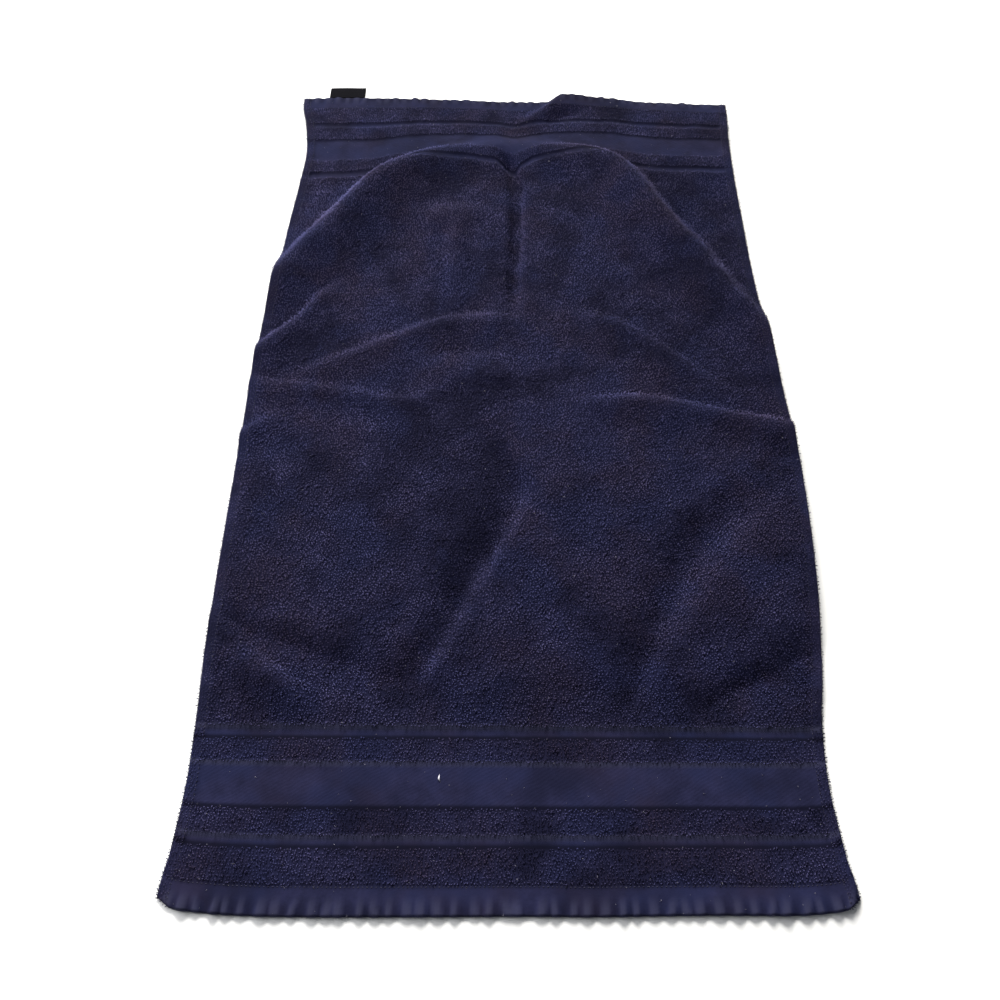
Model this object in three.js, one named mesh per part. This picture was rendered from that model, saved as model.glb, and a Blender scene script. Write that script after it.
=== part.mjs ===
import * as THREE from 'three';

// Hand towel of dark navy terry, laid out flat on a surface with the folds it was put down in.
// Millimetres. X runs across the towel, Y along it towards the end that has the label, and Z is up.
// The tables below are in the plan of the laid towel, with X = 0 and Y = 0 near its middle. At the
// end of the file the whole part moves, so that its origin is at the bottom centre of its box.

// Cloth thickness by weave, as it lies
const PILE_THICKNESS = 4.2;
const STRIPE_THICKNESS = 3.8;
const BORDER_THICKNESS = 1.9;
const GROOVE_THICKNESS = 1.5;
const HEM_THICKNESS = 2.9;

// Side hems: a narrow turned edge of flattened terry
const SIDE_HEM_WIDTH = 10;
const SIDE_HEM_THICKNESS = 2.7;

// A cut or folded edge is rounded: its outermost line lies part of the way up the thickness
const EDGE_RISE = 0.45;
const EDGE_ROUNDING = 1.8;

// Each step from one weave to the next is this wide
const STEP_WIDTH = 1.8;

// Puckers of the end hems: short ridges across the fold, gathered by the stitch line
const PUCKERS_PER_HEM = 37;
const PUCKER_HEIGHT = 1.6;
const PUCKER_REACH = 15;
const PUCKER_FULL = 8;
const PUCKER_SCALLOP = 0.9;
const PUCKER_WANDER = 0.9;
const PUCKER_SWAY = { quick: 1.7, slow: 0.61 };

// Weaves of one end, from the hem's fold to the pile field
const BANDS = [
  { name: 'hem', width: 20.5, thickness: HEM_THICKNESS },
  { name: 'outer stripe', width: 26.5, thickness: STRIPE_THICKNESS },
  { name: 'outer groove', width: 7, thickness: GROOVE_THICKNESS },
  { name: 'middle stripe', width: 21, thickness: STRIPE_THICKNESS },
  { name: 'flat border', width: 33, thickness: BORDER_THICKNESS },
  { name: 'inner stripe', width: 20, thickness: STRIPE_THICKNESS },
  { name: 'inner groove', width: 8, thickness: GROOVE_THICKNESS },
];

// Where the pile field starts and ends
const NEAR_FIELD_LINE = -305;
const FAR_FIELD_LINE = 307;

// Left and right edge at each station along the towel: the hems flare, the flat borders draw in
const SIDE_STATIONS = [
  { y: -443, left: -243, right: 238 },
  { y: -434, left: -249, right: 246 },
  { y: -420, left: -249, right: 246 },
  { y: -400, left: -246, right: 242 },
  { y: -350, left: -243, right: 237.5 },
  { y: -300, left: -244, right: 239.5 },
  { y: -250, left: -246, right: 247 },
  { y: -150, left: -247, right: 253.5 },
  { y: -50, left: -247, right: 254.5 },
  { y: 50, left: -246, right: 247 },
  { y: 150, left: -240, right: 240 },
  { y: 250, left: -236, right: 238 },
  { y: 300, left: -233, right: 235.5 },
  { y: 350, left: -231, right: 235.5 },
  { y: 400, left: -237, right: 238.5 },
  { y: 430, left: -244, right: 240 },
  { y: 452, left: -245.5, right: 240 },
];

// Near and far hem edge at each station across the towel
const END_STATIONS = [
  { x: -250, near: -430, far: 447.5 },
  { x: -238, near: -437.5, far: 448 },
  { x: -200, near: -441, far: 448 },
  { x: -150, near: -442, far: 447 },
  { x: -50, near: -441, far: 441 },
  { x: 20, near: -440, far: 436 },
  { x: 56, near: -440, far: 438 },
  { x: 100, near: -439, far: 436 },
  { x: 150, near: -438, far: 431 },
  { x: 205, near: -437.5, far: 427 },
  { x: 236, near: -434, far: 425 },
  { x: 250, near: -425, far: 424 },
];

// How high the towel stands off the surface, at stations along it and across it
const LIFT_ACROSS = [-250, -125, 0, 125, 250];
const LIFT_STATIONS = [
  { y: -450, lift: [0, 0, 0, 0, 0] },
  { y: -306, lift: [0, 0, 0, 0, 0] },
  { y: -285, lift: [0.5, 1.2, 1.5, 2, 1] },
  { y: -262, lift: [1.5, 4, 4.5, 6, 5] },
  { y: -230, lift: [2.5, 6, 6, 8, 6.5] },
  { y: -180, lift: [4, 8, 7, 8, 7] },
  { y: -90, lift: [5, 8, 8, 9, 7] },
  { y: 0, lift: [7, 8, 7.5, 8, 7] },
  { y: 80, lift: [9, 8, 7.5, 8, 8] },
  { y: 170, lift: [8, 8, 7.5, 8, 5.5] },
  { y: 250, lift: [4.5, 8, 7.5, 8, 4] },
  { y: 315, lift: [4, 7, 5.5, 9, 9] },
  { y: 360, lift: [4, 4, 5, 8, 8] },
  { y: 405, lift: [3, 2, 2, 6, 5] },
  { y: 450, lift: [0, 0, 0, 1, 0] },
];

// Folds: the line of each crest or trough, with its height over the lift (below it where negative)
// and how far it reaches to the right and to the left of the way the line runs
const FOLDS = [
  {
    name: 'arch',
    sharp: true,
    line: [
      { x: -262, y: 124, height: 11, right: 50, left: 25 },
      { x: -239, y: 150, height: 14, right: 55, left: 25 },
      { x: -194, y: 217, height: 18, right: 60, left: 25 },
      { x: -164, y: 263, height: 19, right: 62, left: 25 },
      { x: -140, y: 298, height: 18, right: 60, left: 24 },
      { x: -105, y: 325, height: 14, right: 48, left: 25 },
      { x: -55, y: 343, height: 8, right: 44, left: 28 },
      { x: 0, y: 350, height: 5, right: 42, left: 32 },
      { x: 45, y: 340, height: 9, right: 46, left: 26 },
      { x: 88, y: 326, height: 16, right: 48, left: 24 },
      { x: 108, y: 308, height: 18, right: 54, left: 25 },
      { x: 128, y: 276, height: 20, right: 58, left: 25 },
      { x: 154, y: 226, height: 19, right: 58, left: 25 },
      { x: 183, y: 182, height: 17, right: 54, left: 25 },
      { x: 211, y: 128, height: 14, right: 48, left: 24 },
      { x: 236, y: 91, height: 11, right: 42, left: 22 },
      { x: 262, y: 56, height: 9, right: 45, left: 22 },
    ],
  },
  {
    name: 'centre crease',
    line: [
      { x: -14, y: 342, height: -2, right: 14, left: 12 },
      { x: -2, y: 318, height: -10, right: 14, left: 10 },
      { x: 4, y: 285, height: -13, right: 13, left: 9 },
      { x: 5, y: 225, height: -11, right: 13, left: 9 },
      { x: 3, y: 160, height: -8, right: 13, left: 10 },
      { x: 2, y: 95, height: 0, right: 15, left: 12 },
    ],
  },
  {
    name: 'left wrinkle',
    sharp: true,
    line: [
      { x: -262, y: 48, height: 6, right: 30, left: 11 },
      { x: -240, y: 64, height: 7, right: 32, left: 11 },
      { x: -206, y: 97, height: 7, right: 32, left: 11 },
      { x: -187, y: 128, height: 5, right: 28, left: 11 },
      { x: -165, y: 148, height: 0, right: 20, left: 12 },
    ],
  },
  {
    name: 'second arch, left',
    sharp: true,
    line: [
      { x: -205, y: 28, height: 0, right: 34, left: 12 },
      { x: -178, y: 42, height: 3.5, right: 36, left: 12 },
      { x: -131, y: 64, height: 4.5, right: 38, left: 12 },
      { x: -88, y: 86, height: 5.5, right: 38, left: 12 },
      { x: -52, y: 98, height: 5, right: 36, left: 12 },
      { x: -15, y: 100, height: 3.5, right: 32, left: 12 },
      { x: 20, y: 100, height: 0, right: 30, left: 12 },
    ],
  },
  {
    name: 'second arch, right',
    sharp: true,
    line: [
      { x: 55, y: 106, height: 0, right: 34, left: 12 },
      { x: 85, y: 98, height: 3.5, right: 36, left: 12 },
      { x: 121, y: 76, height: 4, right: 36, left: 12 },
      { x: 162, y: 40, height: 3.5, right: 30, left: 12 },
      { x: 196, y: 14, height: 2, right: 26, left: 12 },
      { x: 225, y: -6, height: 0, right: 26, left: 12 },
    ],
  },
  {
    name: 'patch below the second arch',
    line: [
      { x: -100, y: 34, height: 0, right: 26, left: 26 },
      { x: -64, y: 37, height: 3.2, right: 30, left: 28 },
      { x: -19, y: 37, height: 3.2, right: 30, left: 28 },
      { x: 20, y: 36, height: 0, right: 26, left: 26 },
    ],
  },
  {
    name: 'third arch, left',
    sharp: true,
    line: [
      { x: -262, y: 28, height: 2.5, right: 20, left: 10 },
      { x: -223, y: 20, height: 3, right: 20, left: 10 },
      { x: -179, y: 15, height: 3, right: 22, left: 10 },
      { x: -134, y: 6, height: 3, right: 22, left: 10 },
      { x: -90, y: 2, height: 2.5, right: 20, left: 10 },
      { x: -60, y: 22, height: 0, right: 18, left: 10 },
    ],
  },
  {
    name: 'third arch, right',
    sharp: true,
    line: [
      { x: 55, y: 2, height: 0, right: 24, left: 10 },
      { x: 81, y: 0, height: 4, right: 28, left: 10 },
      { x: 117, y: 1, height: 5, right: 30, left: 10 },
      { x: 158, y: -7, height: 5.5, right: 30, left: 10 },
      { x: 199, y: -18, height: 5.5, right: 30, left: 10 },
      { x: 262, y: -30, height: 5, right: 28, left: 10 },
    ],
  },
  {
    name: 'left edge wrinkle',
    sharp: true,
    line: [
      { x: -262, y: -42, height: 4, right: 18, left: 9 },
      { x: -236, y: -28, height: 4, right: 18, left: 9 },
      { x: -206, y: -8, height: 0, right: 14, left: 9 },
    ],
  },
  {
    name: 'rib beside the crease',
    line: [
      { x: -52, y: 244, height: 0, right: 12, left: 18 },
      { x: -59, y: 217, height: 3.5, right: 14, left: 20 },
      { x: -60, y: 163, height: 4, right: 14, left: 20 },
      { x: -55, y: 101, height: 0, right: 10, left: 18 },
    ],
  },
  {
    name: 'bump in the left lobe',
    line: [
      { x: -112, y: 246, height: 0, right: 24, left: 20 },
      { x: -76, y: 244, height: 3, right: 28, left: 22 },
      { x: -39, y: 248, height: 3, right: 26, left: 20 },
      { x: -18, y: 248, height: 0, right: 24, left: 20 },
    ],
  },
  {
    name: 'left near trough',
    line: [
      { x: -30, y: -20, height: 0, right: 26, left: 14 },
      { x: -12, y: -55, height: -4, right: 30, left: 15 },
      { x: 6, y: -92, height: -6, right: 32, left: 15 },
      { x: -8, y: -132, height: -6.5, right: 32, left: 15 },
      { x: -33, y: -180, height: -6.5, right: 32, left: 15 },
      { x: -52, y: -223, height: -6, right: 30, left: 14 },
      { x: -72, y: -262, height: -4, right: 26, left: 13 },
      { x: -84, y: -292, height: 0, right: 22, left: 12 },
    ],
  },
  {
    name: 'right near trough',
    line: [
      { x: 228, y: -84, height: 0, right: 28, left: 24 },
      { x: 194, y: -118, height: -5, right: 36, left: 26 },
      { x: 160, y: -150, height: -6.5, right: 38, left: 28 },
      { x: 138, y: -186, height: -7, right: 36, left: 26 },
      { x: 118, y: -226, height: -6, right: 32, left: 22 },
      { x: 102, y: -262, height: -4, right: 28, left: 18 },
      { x: 88, y: -298, height: 0, right: 20, left: 14 },
    ],
  },
  {
    name: 'near left slope',
    line: [
      { x: -262, y: -218, height: -1, right: 22, left: 28 },
      { x: -215, y: -237, height: -5, right: 22, left: 32 },
      { x: -165, y: -254, height: -7, right: 20, left: 32 },
      { x: -120, y: -268, height: -7, right: 20, left: 32 },
      { x: -80, y: -280, height: -3, right: 18, left: 26 },
      { x: -60, y: -290, height: 0, right: 16, left: 20 },
    ],
  },
  {
    name: 'near left wrinkle',
    line: [
      { x: -262, y: -208, height: 2, right: 30, left: 14 },
      { x: -233, y: -226, height: 5, right: 34, left: 14 },
      { x: -203, y: -249, height: 6.5, right: 34, left: 14 },
      { x: -178, y: -272, height: 5.5, right: 30, left: 13 },
      { x: -158, y: -298, height: 0, right: 20, left: 10 },
    ],
  },
  {
    name: 'near right hollow',
    line: [
      { x: 262, y: -225, height: -3, right: 34, left: 30 },
      { x: 225, y: -258, height: -7, right: 36, left: 32 },
      { x: 180, y: -286, height: -6, right: 30, left: 30 },
      { x: 140, y: -304, height: 0, right: 22, left: 20 },
    ],
  },
  {
    name: 'pinch in the far hem',
    sharp: true,
    line: [
      { x: 6, y: 392, height: 0, right: 18, left: 12 },
      { x: 22, y: 406, height: 4, right: 24, left: 11 },
      { x: 42, y: 424, height: 7, right: 36, left: 11 },
      { x: 60, y: 446, height: 10, right: 66, left: 12 },
      { x: 66, y: 456, height: 10, right: 84, left: 12 },
    ],
  },
  {
    name: 'pocket beside the pinch',
    line: [
      { x: 30, y: 396, height: 0, right: 12, left: 12 },
      { x: 56, y: 408, height: -3, right: 14, left: 14 },
      { x: 84, y: 414, height: 0, right: 12, left: 12 },
    ],
  },
];

// A sharp crest keeps a small rounding, as pile does over a crease, and its steep side flattens out
const CREST_ROUNDING = 4.5;
const STEEPNESS = 1.6;

// Grid of the faces
const FIELD_ROW_SPACING = 14.5;
const FIELD_COLUMNS = 31;
const FLAT_COLUMNS = 8;
const WIDE_BAND = 15;
const WIDE_BAND_SPACING = 11;
const PUCKER_LINES = [1.8, 8, 15];
const LINE_STEPS = 6;
const SPAN_PASSES = 3;

// Label: a folded tape caught in the far hem
const LABEL_LEFT = -216;
const LABEL_RIGHT = -175;
const LABEL_REACH = 19;
const LABEL_THICKNESS = 1.3;
const LABEL_FOLD_THICKNESS = 1.8;
const LABEL_FOLD_LENGTH = 2.5;
const LABEL_GAP = 0.3;
const LABEL_SEAT_HEIGHT = 0.6;
const LABEL_BOW = 0.8;
const LABEL_CURVE_STEPS = 6;

// Colours from the photograph
const NAVY = 0x14152e;
const NAVY_ROUGHNESS = 0.95;
const TAPE_BLACK = 0x0b0b0e;
const TAPE_ROUGHNESS = 0.6;

// Shapes shared by the tables

function smoothstep(t) {
  const s = Math.min(Math.max(t, 0), 1);
  return s * s * (3 - 2 * s);
}

// Cubic through four values, between the middle two
function cubic(a, b, c, d, t) {
  const slopeIn = (c - a) / 2;
  const slopeOut = (d - b) / 2;
  const t2 = t * t;
  const t3 = t2 * t;
  return (2 * t3 - 3 * t2 + 1) * b + (t3 - 2 * t2 + t) * slopeIn
    + (3 * t2 - 2 * t3) * c + (t3 - t2) * slopeOut;
}

// Value of a table at a place between its rows, on a smooth line through them
function alongTable(places, values, place) {
  const last = places.length - 1;
  if (place <= places[0]) return values[0];
  if (place >= places[last]) return values[last];
  let i = 0;
  while (places[i + 1] < place) i += 1;
  const t = (place - places[i]) / (places[i + 1] - places[i]);
  return cubic(values[Math.max(i - 1, 0)], values[i], values[i + 1], values[Math.min(i + 2, last)], t);
}

function column(table, name) {
  return table.map((row) => row[name]);
}

const sidePlaces = column(SIDE_STATIONS, 'y');
const endPlaces = column(END_STATIONS, 'x');
const leftEdge = (y) => alongTable(sidePlaces, column(SIDE_STATIONS, 'left'), y);
const rightEdge = (y) => alongTable(sidePlaces, column(SIDE_STATIONS, 'right'), y);
const nearEdge = (x) => alongTable(endPlaces, column(END_STATIONS, 'near'), x);
const farEdge = (x) => alongTable(endPlaces, column(END_STATIONS, 'far'), x);

// How high the underside stands: the lift table, then every fold on top of it

function liftAt(x, y) {
  const places = column(LIFT_STATIONS, 'y');
  const across = LIFT_ACROSS.map((_, i) => {
    return alongTable(places, LIFT_STATIONS.map((row) => row.lift[i]), y);
  });
  return alongTable(LIFT_ACROSS, across, x);
}

// The line of a fold as short straight steps
function tracedLine(line) {
  const steps = [];
  for (let i = 0; i < line.length - 1; i += 1) {
    const corners = [line[Math.max(i - 1, 0)], line[i], line[i + 1], line[Math.min(i + 2, line.length - 1)]];
    for (let k = 0; k < LINE_STEPS; k += 1) {
      const t = k / LINE_STEPS;
      const point = {};
      for (const name of ['x', 'y', 'height', 'right', 'left']) {
        point[name] = cubic(...corners.map((corner) => corner[name]), t);
      }
      steps.push(point);
    }
  }
  steps.push(line[line.length - 1]);
  return steps;
}

const tracedFolds = FOLDS.map((fold) => ({ ...fold, steps: tracedLine(fold.line) }));

// Share of a fold's height at a distance from its line. A soft side is round at the line, and a
// sharp one is steep there and flattens out.
function softShare(distance, reach) {
  return 1 - smoothstep(distance / reach);
}

function sharpShare(distance, reach) {
  const rounded = Math.hypot(distance, CREST_ROUNDING) - CREST_ROUNDING;
  return Math.max(1 - rounded / reach, 0) ** STEEPNESS;
}

function foldHeight(fold, x, y) {
  let best = null;
  let bestDistance = Infinity;
  for (let i = 0; i < fold.steps.length - 1; i += 1) {
    const from = fold.steps[i];
    const to = fold.steps[i + 1];
    const dx = to.x - from.x;
    const dy = to.y - from.y;
    const along = ((x - from.x) * dx + (y - from.y) * dy) / (dx * dx + dy * dy);
    const t = Math.min(Math.max(along, 0), 1);
    const distance = Math.hypot(x - from.x - t * dx, y - from.y - t * dy);
    if (distance < bestDistance) {
      bestDistance = distance;
      best = { from, to, t, rightHand: dx * (y - from.y) - dy * (x - from.x) < 0 };
    }
  }
  const between = (name) => best.from[name] + (best.to[name] - best.from[name]) * best.t;
  if (best.rightHand && fold.sharp) return between('height') * sharpShare(bestDistance, between('right'));
  return between('height') * softShare(bestDistance, between(best.rightHand ? 'right' : 'left'));
}

function undersideHeight(x, y) {
  const folds = tracedFolds.reduce((sum, fold) => sum + foldHeight(fold, x, y), 0);
  return Math.max(liftAt(x, y) + folds, 0);
}

// Lines across the towel. A line gives Y at each X and holds the thickness on its two sides, which
// differ where one weave meets the next. A distance is measured from the fold of the nearer end hem.

const END_LENGTH = BANDS.reduce((sum, band) => sum + band.width, 0);

function nearLine(distance, thickness, extra = {}) {
  const share = distance / END_LENGTH;
  const yAt = (x) => nearEdge(x) + share * (NEAR_FIELD_LINE - nearEdge(x));
  return { yAt, hemDistance: distance, outwards: -1, thickness, ...extra };
}

function farLine(distance, thickness, extra = {}) {
  const share = distance / END_LENGTH;
  const yAt = (x) => farEdge(x) + share * (FAR_FIELD_LINE - farEdge(x));
  return { yAt, hemDistance: distance, outwards: 1, thickness, ...extra };
}

// Lines of one end, from the hem's fold to the pile field
function endLines(makeLine) {
  const lines = [makeLine(0, [HEM_THICKNESS], { fold: true })];
  for (const distance of PUCKER_LINES) {
    lines.push(makeLine(distance, [HEM_THICKNESS], { puckered: true }));
  }
  let distance = 0;
  BANDS.forEach((band, i) => {
    if (i > 0 && band.width > WIDE_BAND) {
      const parts = Math.round(band.width / WIDE_BAND_SPACING);
      for (let k = 1; k < parts; k += 1) {
        lines.push(makeLine(distance + (k * band.width) / parts, [band.thickness]));
      }
    }
    distance += band.width;
    const beyond = i + 1 < BANDS.length ? BANDS[i + 1].thickness : PILE_THICKNESS;
    lines.push(makeLine(distance, [band.thickness, beyond]));
  });
  return lines;
}

function fieldLines() {
  const count = Math.round((FAR_FIELD_LINE - NEAR_FIELD_LINE) / FIELD_ROW_SPACING);
  const spacing = (FAR_FIELD_LINE - NEAR_FIELD_LINE) / count;
  return Array.from({ length: count - 1 }, (_, i) => {
    const y = NEAR_FIELD_LINE + (i + 1) * spacing;
    return { yAt: () => y, hemDistance: Infinity, thickness: [PILE_THICKNESS] };
  });
}

function allLines() {
  const far = endLines(farLine).reverse();
  for (const line of far) line.thickness.reverse();
  return [...endLines(nearLine), ...fieldLines(), ...far];
}

// Where a line meets the left and the right edge
function spanOf(line) {
  let left = SIDE_STATIONS[0].left;
  let right = SIDE_STATIONS[0].right;
  for (let i = 0; i < SPAN_PASSES; i += 1) {
    left = leftEdge(line.yAt(left));
    right = rightEdge(line.yAt(right));
  }
  return { left, right };
}

function evenly(from, to, count) {
  return Array.from({ length: count + 1 }, (_, i) => from + ((to - from) * i) / count);
}

// Puckers: every second column is a crest, and the pitch wanders a little
function puckerColumns(from, to) {
  const count = PUCKERS_PER_HEM * 2;
  return evenly(from, to, count).map((x, i) => {
    const isEnd = i === 0 || i === count;
    const sway = Math.sin(i * PUCKER_SWAY.quick) + Math.sin(i * PUCKER_SWAY.slow);
    return { x: isEnd ? x : x + PUCKER_WANDER * sway, crest: i % 2 };
  });
}

// How strongly the puckers show at a distance from the hem's fold
function puckerShare(distance) {
  return 1 - smoothstep((distance - PUCKER_FULL) / (PUCKER_REACH - PUCKER_FULL));
}

// The cloth: a skin over the top and one under it, which share the line around the edge

class Skin {
  constructor() {
    this.positions = [];
    this.faces = [];
  }

  point(x, y, z) {
    this.positions.push(x, y, z);
    return this.positions.length / 3 - 1;
  }

  distance(a, b) {
    const p = this.positions;
    return Math.hypot(p[3 * a] - p[3 * b], p[3 * a + 1] - p[3 * b + 1], p[3 * a + 2] - p[3 * b + 2]);
  }

  face(a, b, c, facesUp) {
    if (a === b || b === c || c === a) return;
    if (facesUp) this.faces.push(a, b, c);
    else this.faces.push(a, c, b);
  }

  // Triangles between two rows of points, the nearer row first, always across the shorter diagonal
  join(near, far, facesUp) {
    let i = 0;
    let j = 0;
    while (i < near.length - 1 || j < far.length - 1) {
      const nearDone = i === near.length - 1;
      const farDone = j === far.length - 1;
      const stepNear = farDone
        || (!nearDone && this.distance(near[i + 1], far[j]) <= this.distance(near[i], far[j + 1]));
      if (stepNear) {
        this.face(near[i], near[i + 1], far[j], facesUp);
        i += 1;
      } else {
        this.face(near[i], far[j + 1], far[j], facesUp);
        j += 1;
      }
    }
  }

  geometry() {
    const geometry = new THREE.BufferGeometry();
    geometry.setAttribute('position', new THREE.Float32BufferAttribute(this.positions, 3));
    geometry.setIndex(this.faces);
    geometry.computeVertexNormals();
    return geometry;
  }
}

function clothGeometry() {
  const skin = new Skin();
  const at = (line, x, rise, along = 0) => {
    const y = line.yAt(x) + along;
    return skin.point(x, y, undersideHeight(x, y) + rise);
  };

  // The line of the hem's fold, scalloped by the puckers, is the first or last row of both skins
  function foldRow(line) {
    const { left, right } = spanOf(line);
    return puckerColumns(left, right).map(({ x, crest }) => {
      const rise = line.thickness[0] * EDGE_RISE + crest * PUCKER_HEIGHT * EDGE_RISE;
      return at(line, x, rise, line.outwards * crest * PUCKER_SCALLOP);
    });
  }

  function edgePoints(line, side) {
    const { left, right } = spanOf(line);
    const edge = side < 0 ? left : right;
    const inwards = -side;
    const seam = Math.min(SIDE_HEM_THICKNESS, ...line.thickness);
    return {
      ring: at(line, edge, SIDE_HEM_THICKNESS * EDGE_RISE),
      top: at(line, edge + inwards * EDGE_ROUNDING, SIDE_HEM_THICKNESS),
      seam: at(line, edge + inwards * (SIDE_HEM_WIDTH - STEP_WIDTH), seam),
      under: at(line, edge + inwards * EDGE_ROUNDING, 0),
    };
  }

  function puckeredRow(line, leftPoints, rightPoints) {
    const { left, right } = spanOf(line);
    const share = puckerShare(line.hemDistance);
    const inner = puckerColumns(left, right).slice(1, -1).map(({ x, crest }) => {
      return at(line, x, line.thickness[0] + crest * share * PUCKER_HEIGHT);
    });
    return [leftPoints.ring, ...inner, rightPoints.ring];
  }

  function weaveRow(line, leftPoints, rightPoints, side) {
    const { left, right } = spanOf(line);
    const isStep = line.thickness.length > 1;
    const along = isStep ? (side === 0 ? -STEP_WIDTH / 2 : STEP_WIDTH / 2) : 0;
    const inner = evenly(left + SIDE_HEM_WIDTH, right - SIDE_HEM_WIDTH, FIELD_COLUMNS).map((x) => {
      return at(line, x, line.thickness[side], along);
    });
    return [
      leftPoints.ring, leftPoints.top, leftPoints.seam,
      ...inner,
      rightPoints.seam, rightPoints.top, rightPoints.ring,
    ];
  }

  function underRow(line, leftPoints, rightPoints) {
    const { left, right } = spanOf(line);
    const liesFlat = line.outwards === -1;
    const columns = liesFlat ? FLAT_COLUMNS : FIELD_COLUMNS;
    const inner = evenly(left + SIDE_HEM_WIDTH, right - SIDE_HEM_WIDTH, columns).map((x) => at(line, x, 0));
    return [leftPoints.ring, leftPoints.under, ...inner, rightPoints.under, rightPoints.ring];
  }

  let topRow = null;
  let lowRow = null;
  for (const line of allLines()) {
    let topRows = null;
    let nextLow = null;
    if (line.fold) {
      topRows = [foldRow(line)];
      [nextLow] = topRows;
    } else {
      const leftPoints = edgePoints(line, -1);
      const rightPoints = edgePoints(line, 1);
      topRows = line.puckered
        ? [puckeredRow(line, leftPoints, rightPoints)]
        : line.thickness.map((_, side) => weaveRow(line, leftPoints, rightPoints, side));
      nextLow = underRow(line, leftPoints, rightPoints);
    }
    for (const row of topRows) {
      if (topRow) skin.join(topRow, row, true);
      topRow = row;
    }
    if (lowRow) skin.join(lowRow, nextLow, false);
    lowRow = nextLow;
  }
  return skin.geometry();
}

// The label: its two layers lie together, and the fold at the outer end is a little fuller

function labelGeometry() {
  const hemAtLabel = Math.max(farEdge(LABEL_LEFT), farEdge(LABEL_RIGHT)) + PUCKER_SCALLOP;
  const seat = hemAtLabel + LABEL_GAP;
  const outer = seat + LABEL_REACH;
  const bend = outer - LABEL_FOLD_LENGTH;
  const profile = new THREE.Shape();
  profile.moveTo(seat, LABEL_SEAT_HEIGHT);
  profile.quadraticCurveTo((seat + bend) / 2, LABEL_BOW, bend, 0);
  profile.quadraticCurveTo(outer, 0, outer, LABEL_FOLD_THICKNESS / 2);
  profile.quadraticCurveTo(outer, LABEL_FOLD_THICKNESS, bend, LABEL_FOLD_THICKNESS);
  profile.quadraticCurveTo(
    (seat + bend) / 2,
    LABEL_THICKNESS + LABEL_BOW,
    seat,
    LABEL_THICKNESS + LABEL_SEAT_HEIGHT,
  );
  profile.closePath();
  const geometry = new THREE.ExtrudeGeometry(profile, {
    depth: LABEL_RIGHT - LABEL_LEFT,
    bevelEnabled: false,
    curveSegments: LABEL_CURVE_STEPS,
  });
  // The profile is drawn along Y and up, and swept across in X
  const turn = new THREE.Matrix4().makeBasis(
    new THREE.Vector3(0, 1, 0),
    new THREE.Vector3(0, 0, 1),
    new THREE.Vector3(1, 0, 0),
  );
  geometry.applyMatrix4(turn);
  geometry.translate(LABEL_LEFT, 0, 0);
  return geometry;
}

function piece(name, geometry, color, roughness) {
  const mesh = new THREE.Mesh(geometry, new THREE.MeshStandardMaterial({ color, roughness, metalness: 0 }));
  mesh.name = name;
  return mesh;
}

const towel = new THREE.Group();
towel.add(piece('towel_cloth', clothGeometry(), NAVY, NAVY_ROUGHNESS));
towel.add(piece('label', labelGeometry(), TAPE_BLACK, TAPE_ROUGHNESS));

// The origin is at the bottom centre of the whole part's box
const box = new THREE.Box3().setFromObject(towel);
const centre = box.getCenter(new THREE.Vector3());
towel.position.set(-centre.x, -centre.y, -box.min.z);
towel.updateMatrixWorld(true);

export default towel;
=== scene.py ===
"""A navy terry hand towel, laid out loose on a pale floor, built round its CAD frame.

The cloth is one sheet that follows the folds of its solid, with the flat woven ground, the puckered
end hems and the narrow side hems on it. Geometry Nodes set the loops of the pile, the hem stitches
and the lint on that sheet. Plan sizes are in millimetres, from the same tables as the solid.
"""

import logging
from dataclasses import dataclass, field
from enum import Enum

import bpy
import numpy as np
from mathutils import Matrix, Vector

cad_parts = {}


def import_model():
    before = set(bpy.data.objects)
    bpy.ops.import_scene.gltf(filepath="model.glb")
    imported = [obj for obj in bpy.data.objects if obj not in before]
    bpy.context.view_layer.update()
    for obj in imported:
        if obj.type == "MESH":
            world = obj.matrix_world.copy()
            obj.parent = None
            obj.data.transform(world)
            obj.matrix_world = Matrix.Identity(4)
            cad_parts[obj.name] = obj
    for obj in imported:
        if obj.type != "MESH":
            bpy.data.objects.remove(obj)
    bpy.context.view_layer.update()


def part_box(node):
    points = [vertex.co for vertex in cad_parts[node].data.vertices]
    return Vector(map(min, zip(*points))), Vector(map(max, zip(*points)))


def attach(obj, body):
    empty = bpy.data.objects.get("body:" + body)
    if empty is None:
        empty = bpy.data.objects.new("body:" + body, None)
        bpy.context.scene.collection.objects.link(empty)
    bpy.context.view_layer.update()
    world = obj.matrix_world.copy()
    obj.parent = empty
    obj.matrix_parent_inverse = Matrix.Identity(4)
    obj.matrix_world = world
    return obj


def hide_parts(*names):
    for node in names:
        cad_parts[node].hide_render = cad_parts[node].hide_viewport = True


MM = 0.001
SEED = 7

log = logging.getLogger("hand_towel")

Array = np.ndarray
Colour = tuple[float, float, float]
Rows = tuple[tuple[float, ...], ...]
Piece = bpy.types.Object
Material = bpy.types.Material
Tree = bpy.types.NodeTree


# Smooth lines and shares


def smoothstep(t: Array) -> Array:
    """Returns 0 below 0 and 1 above 1, with an even S between them."""
    s = np.clip(t, 0.0, 1.0)
    return s * s * (3.0 - 2.0 * s)


def fading(past: Array, lead: float, reach: Array, full: float = 0.0) -> Array:
    """Works out a share that falls away past an edge.

    Args:
        past: How far each point lies past the edge.
        lead: How far before the edge the share starts.
        reach: Length over which it falls to 0.
        full: How far it stays at 1, as a share of that length.

    Returns:
        1 from the start on, falling to 0, and 0 before the start.
    """
    return np.where(past >= -lead, 1.0 - smoothstep(past / reach - full), 0.0)


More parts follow.
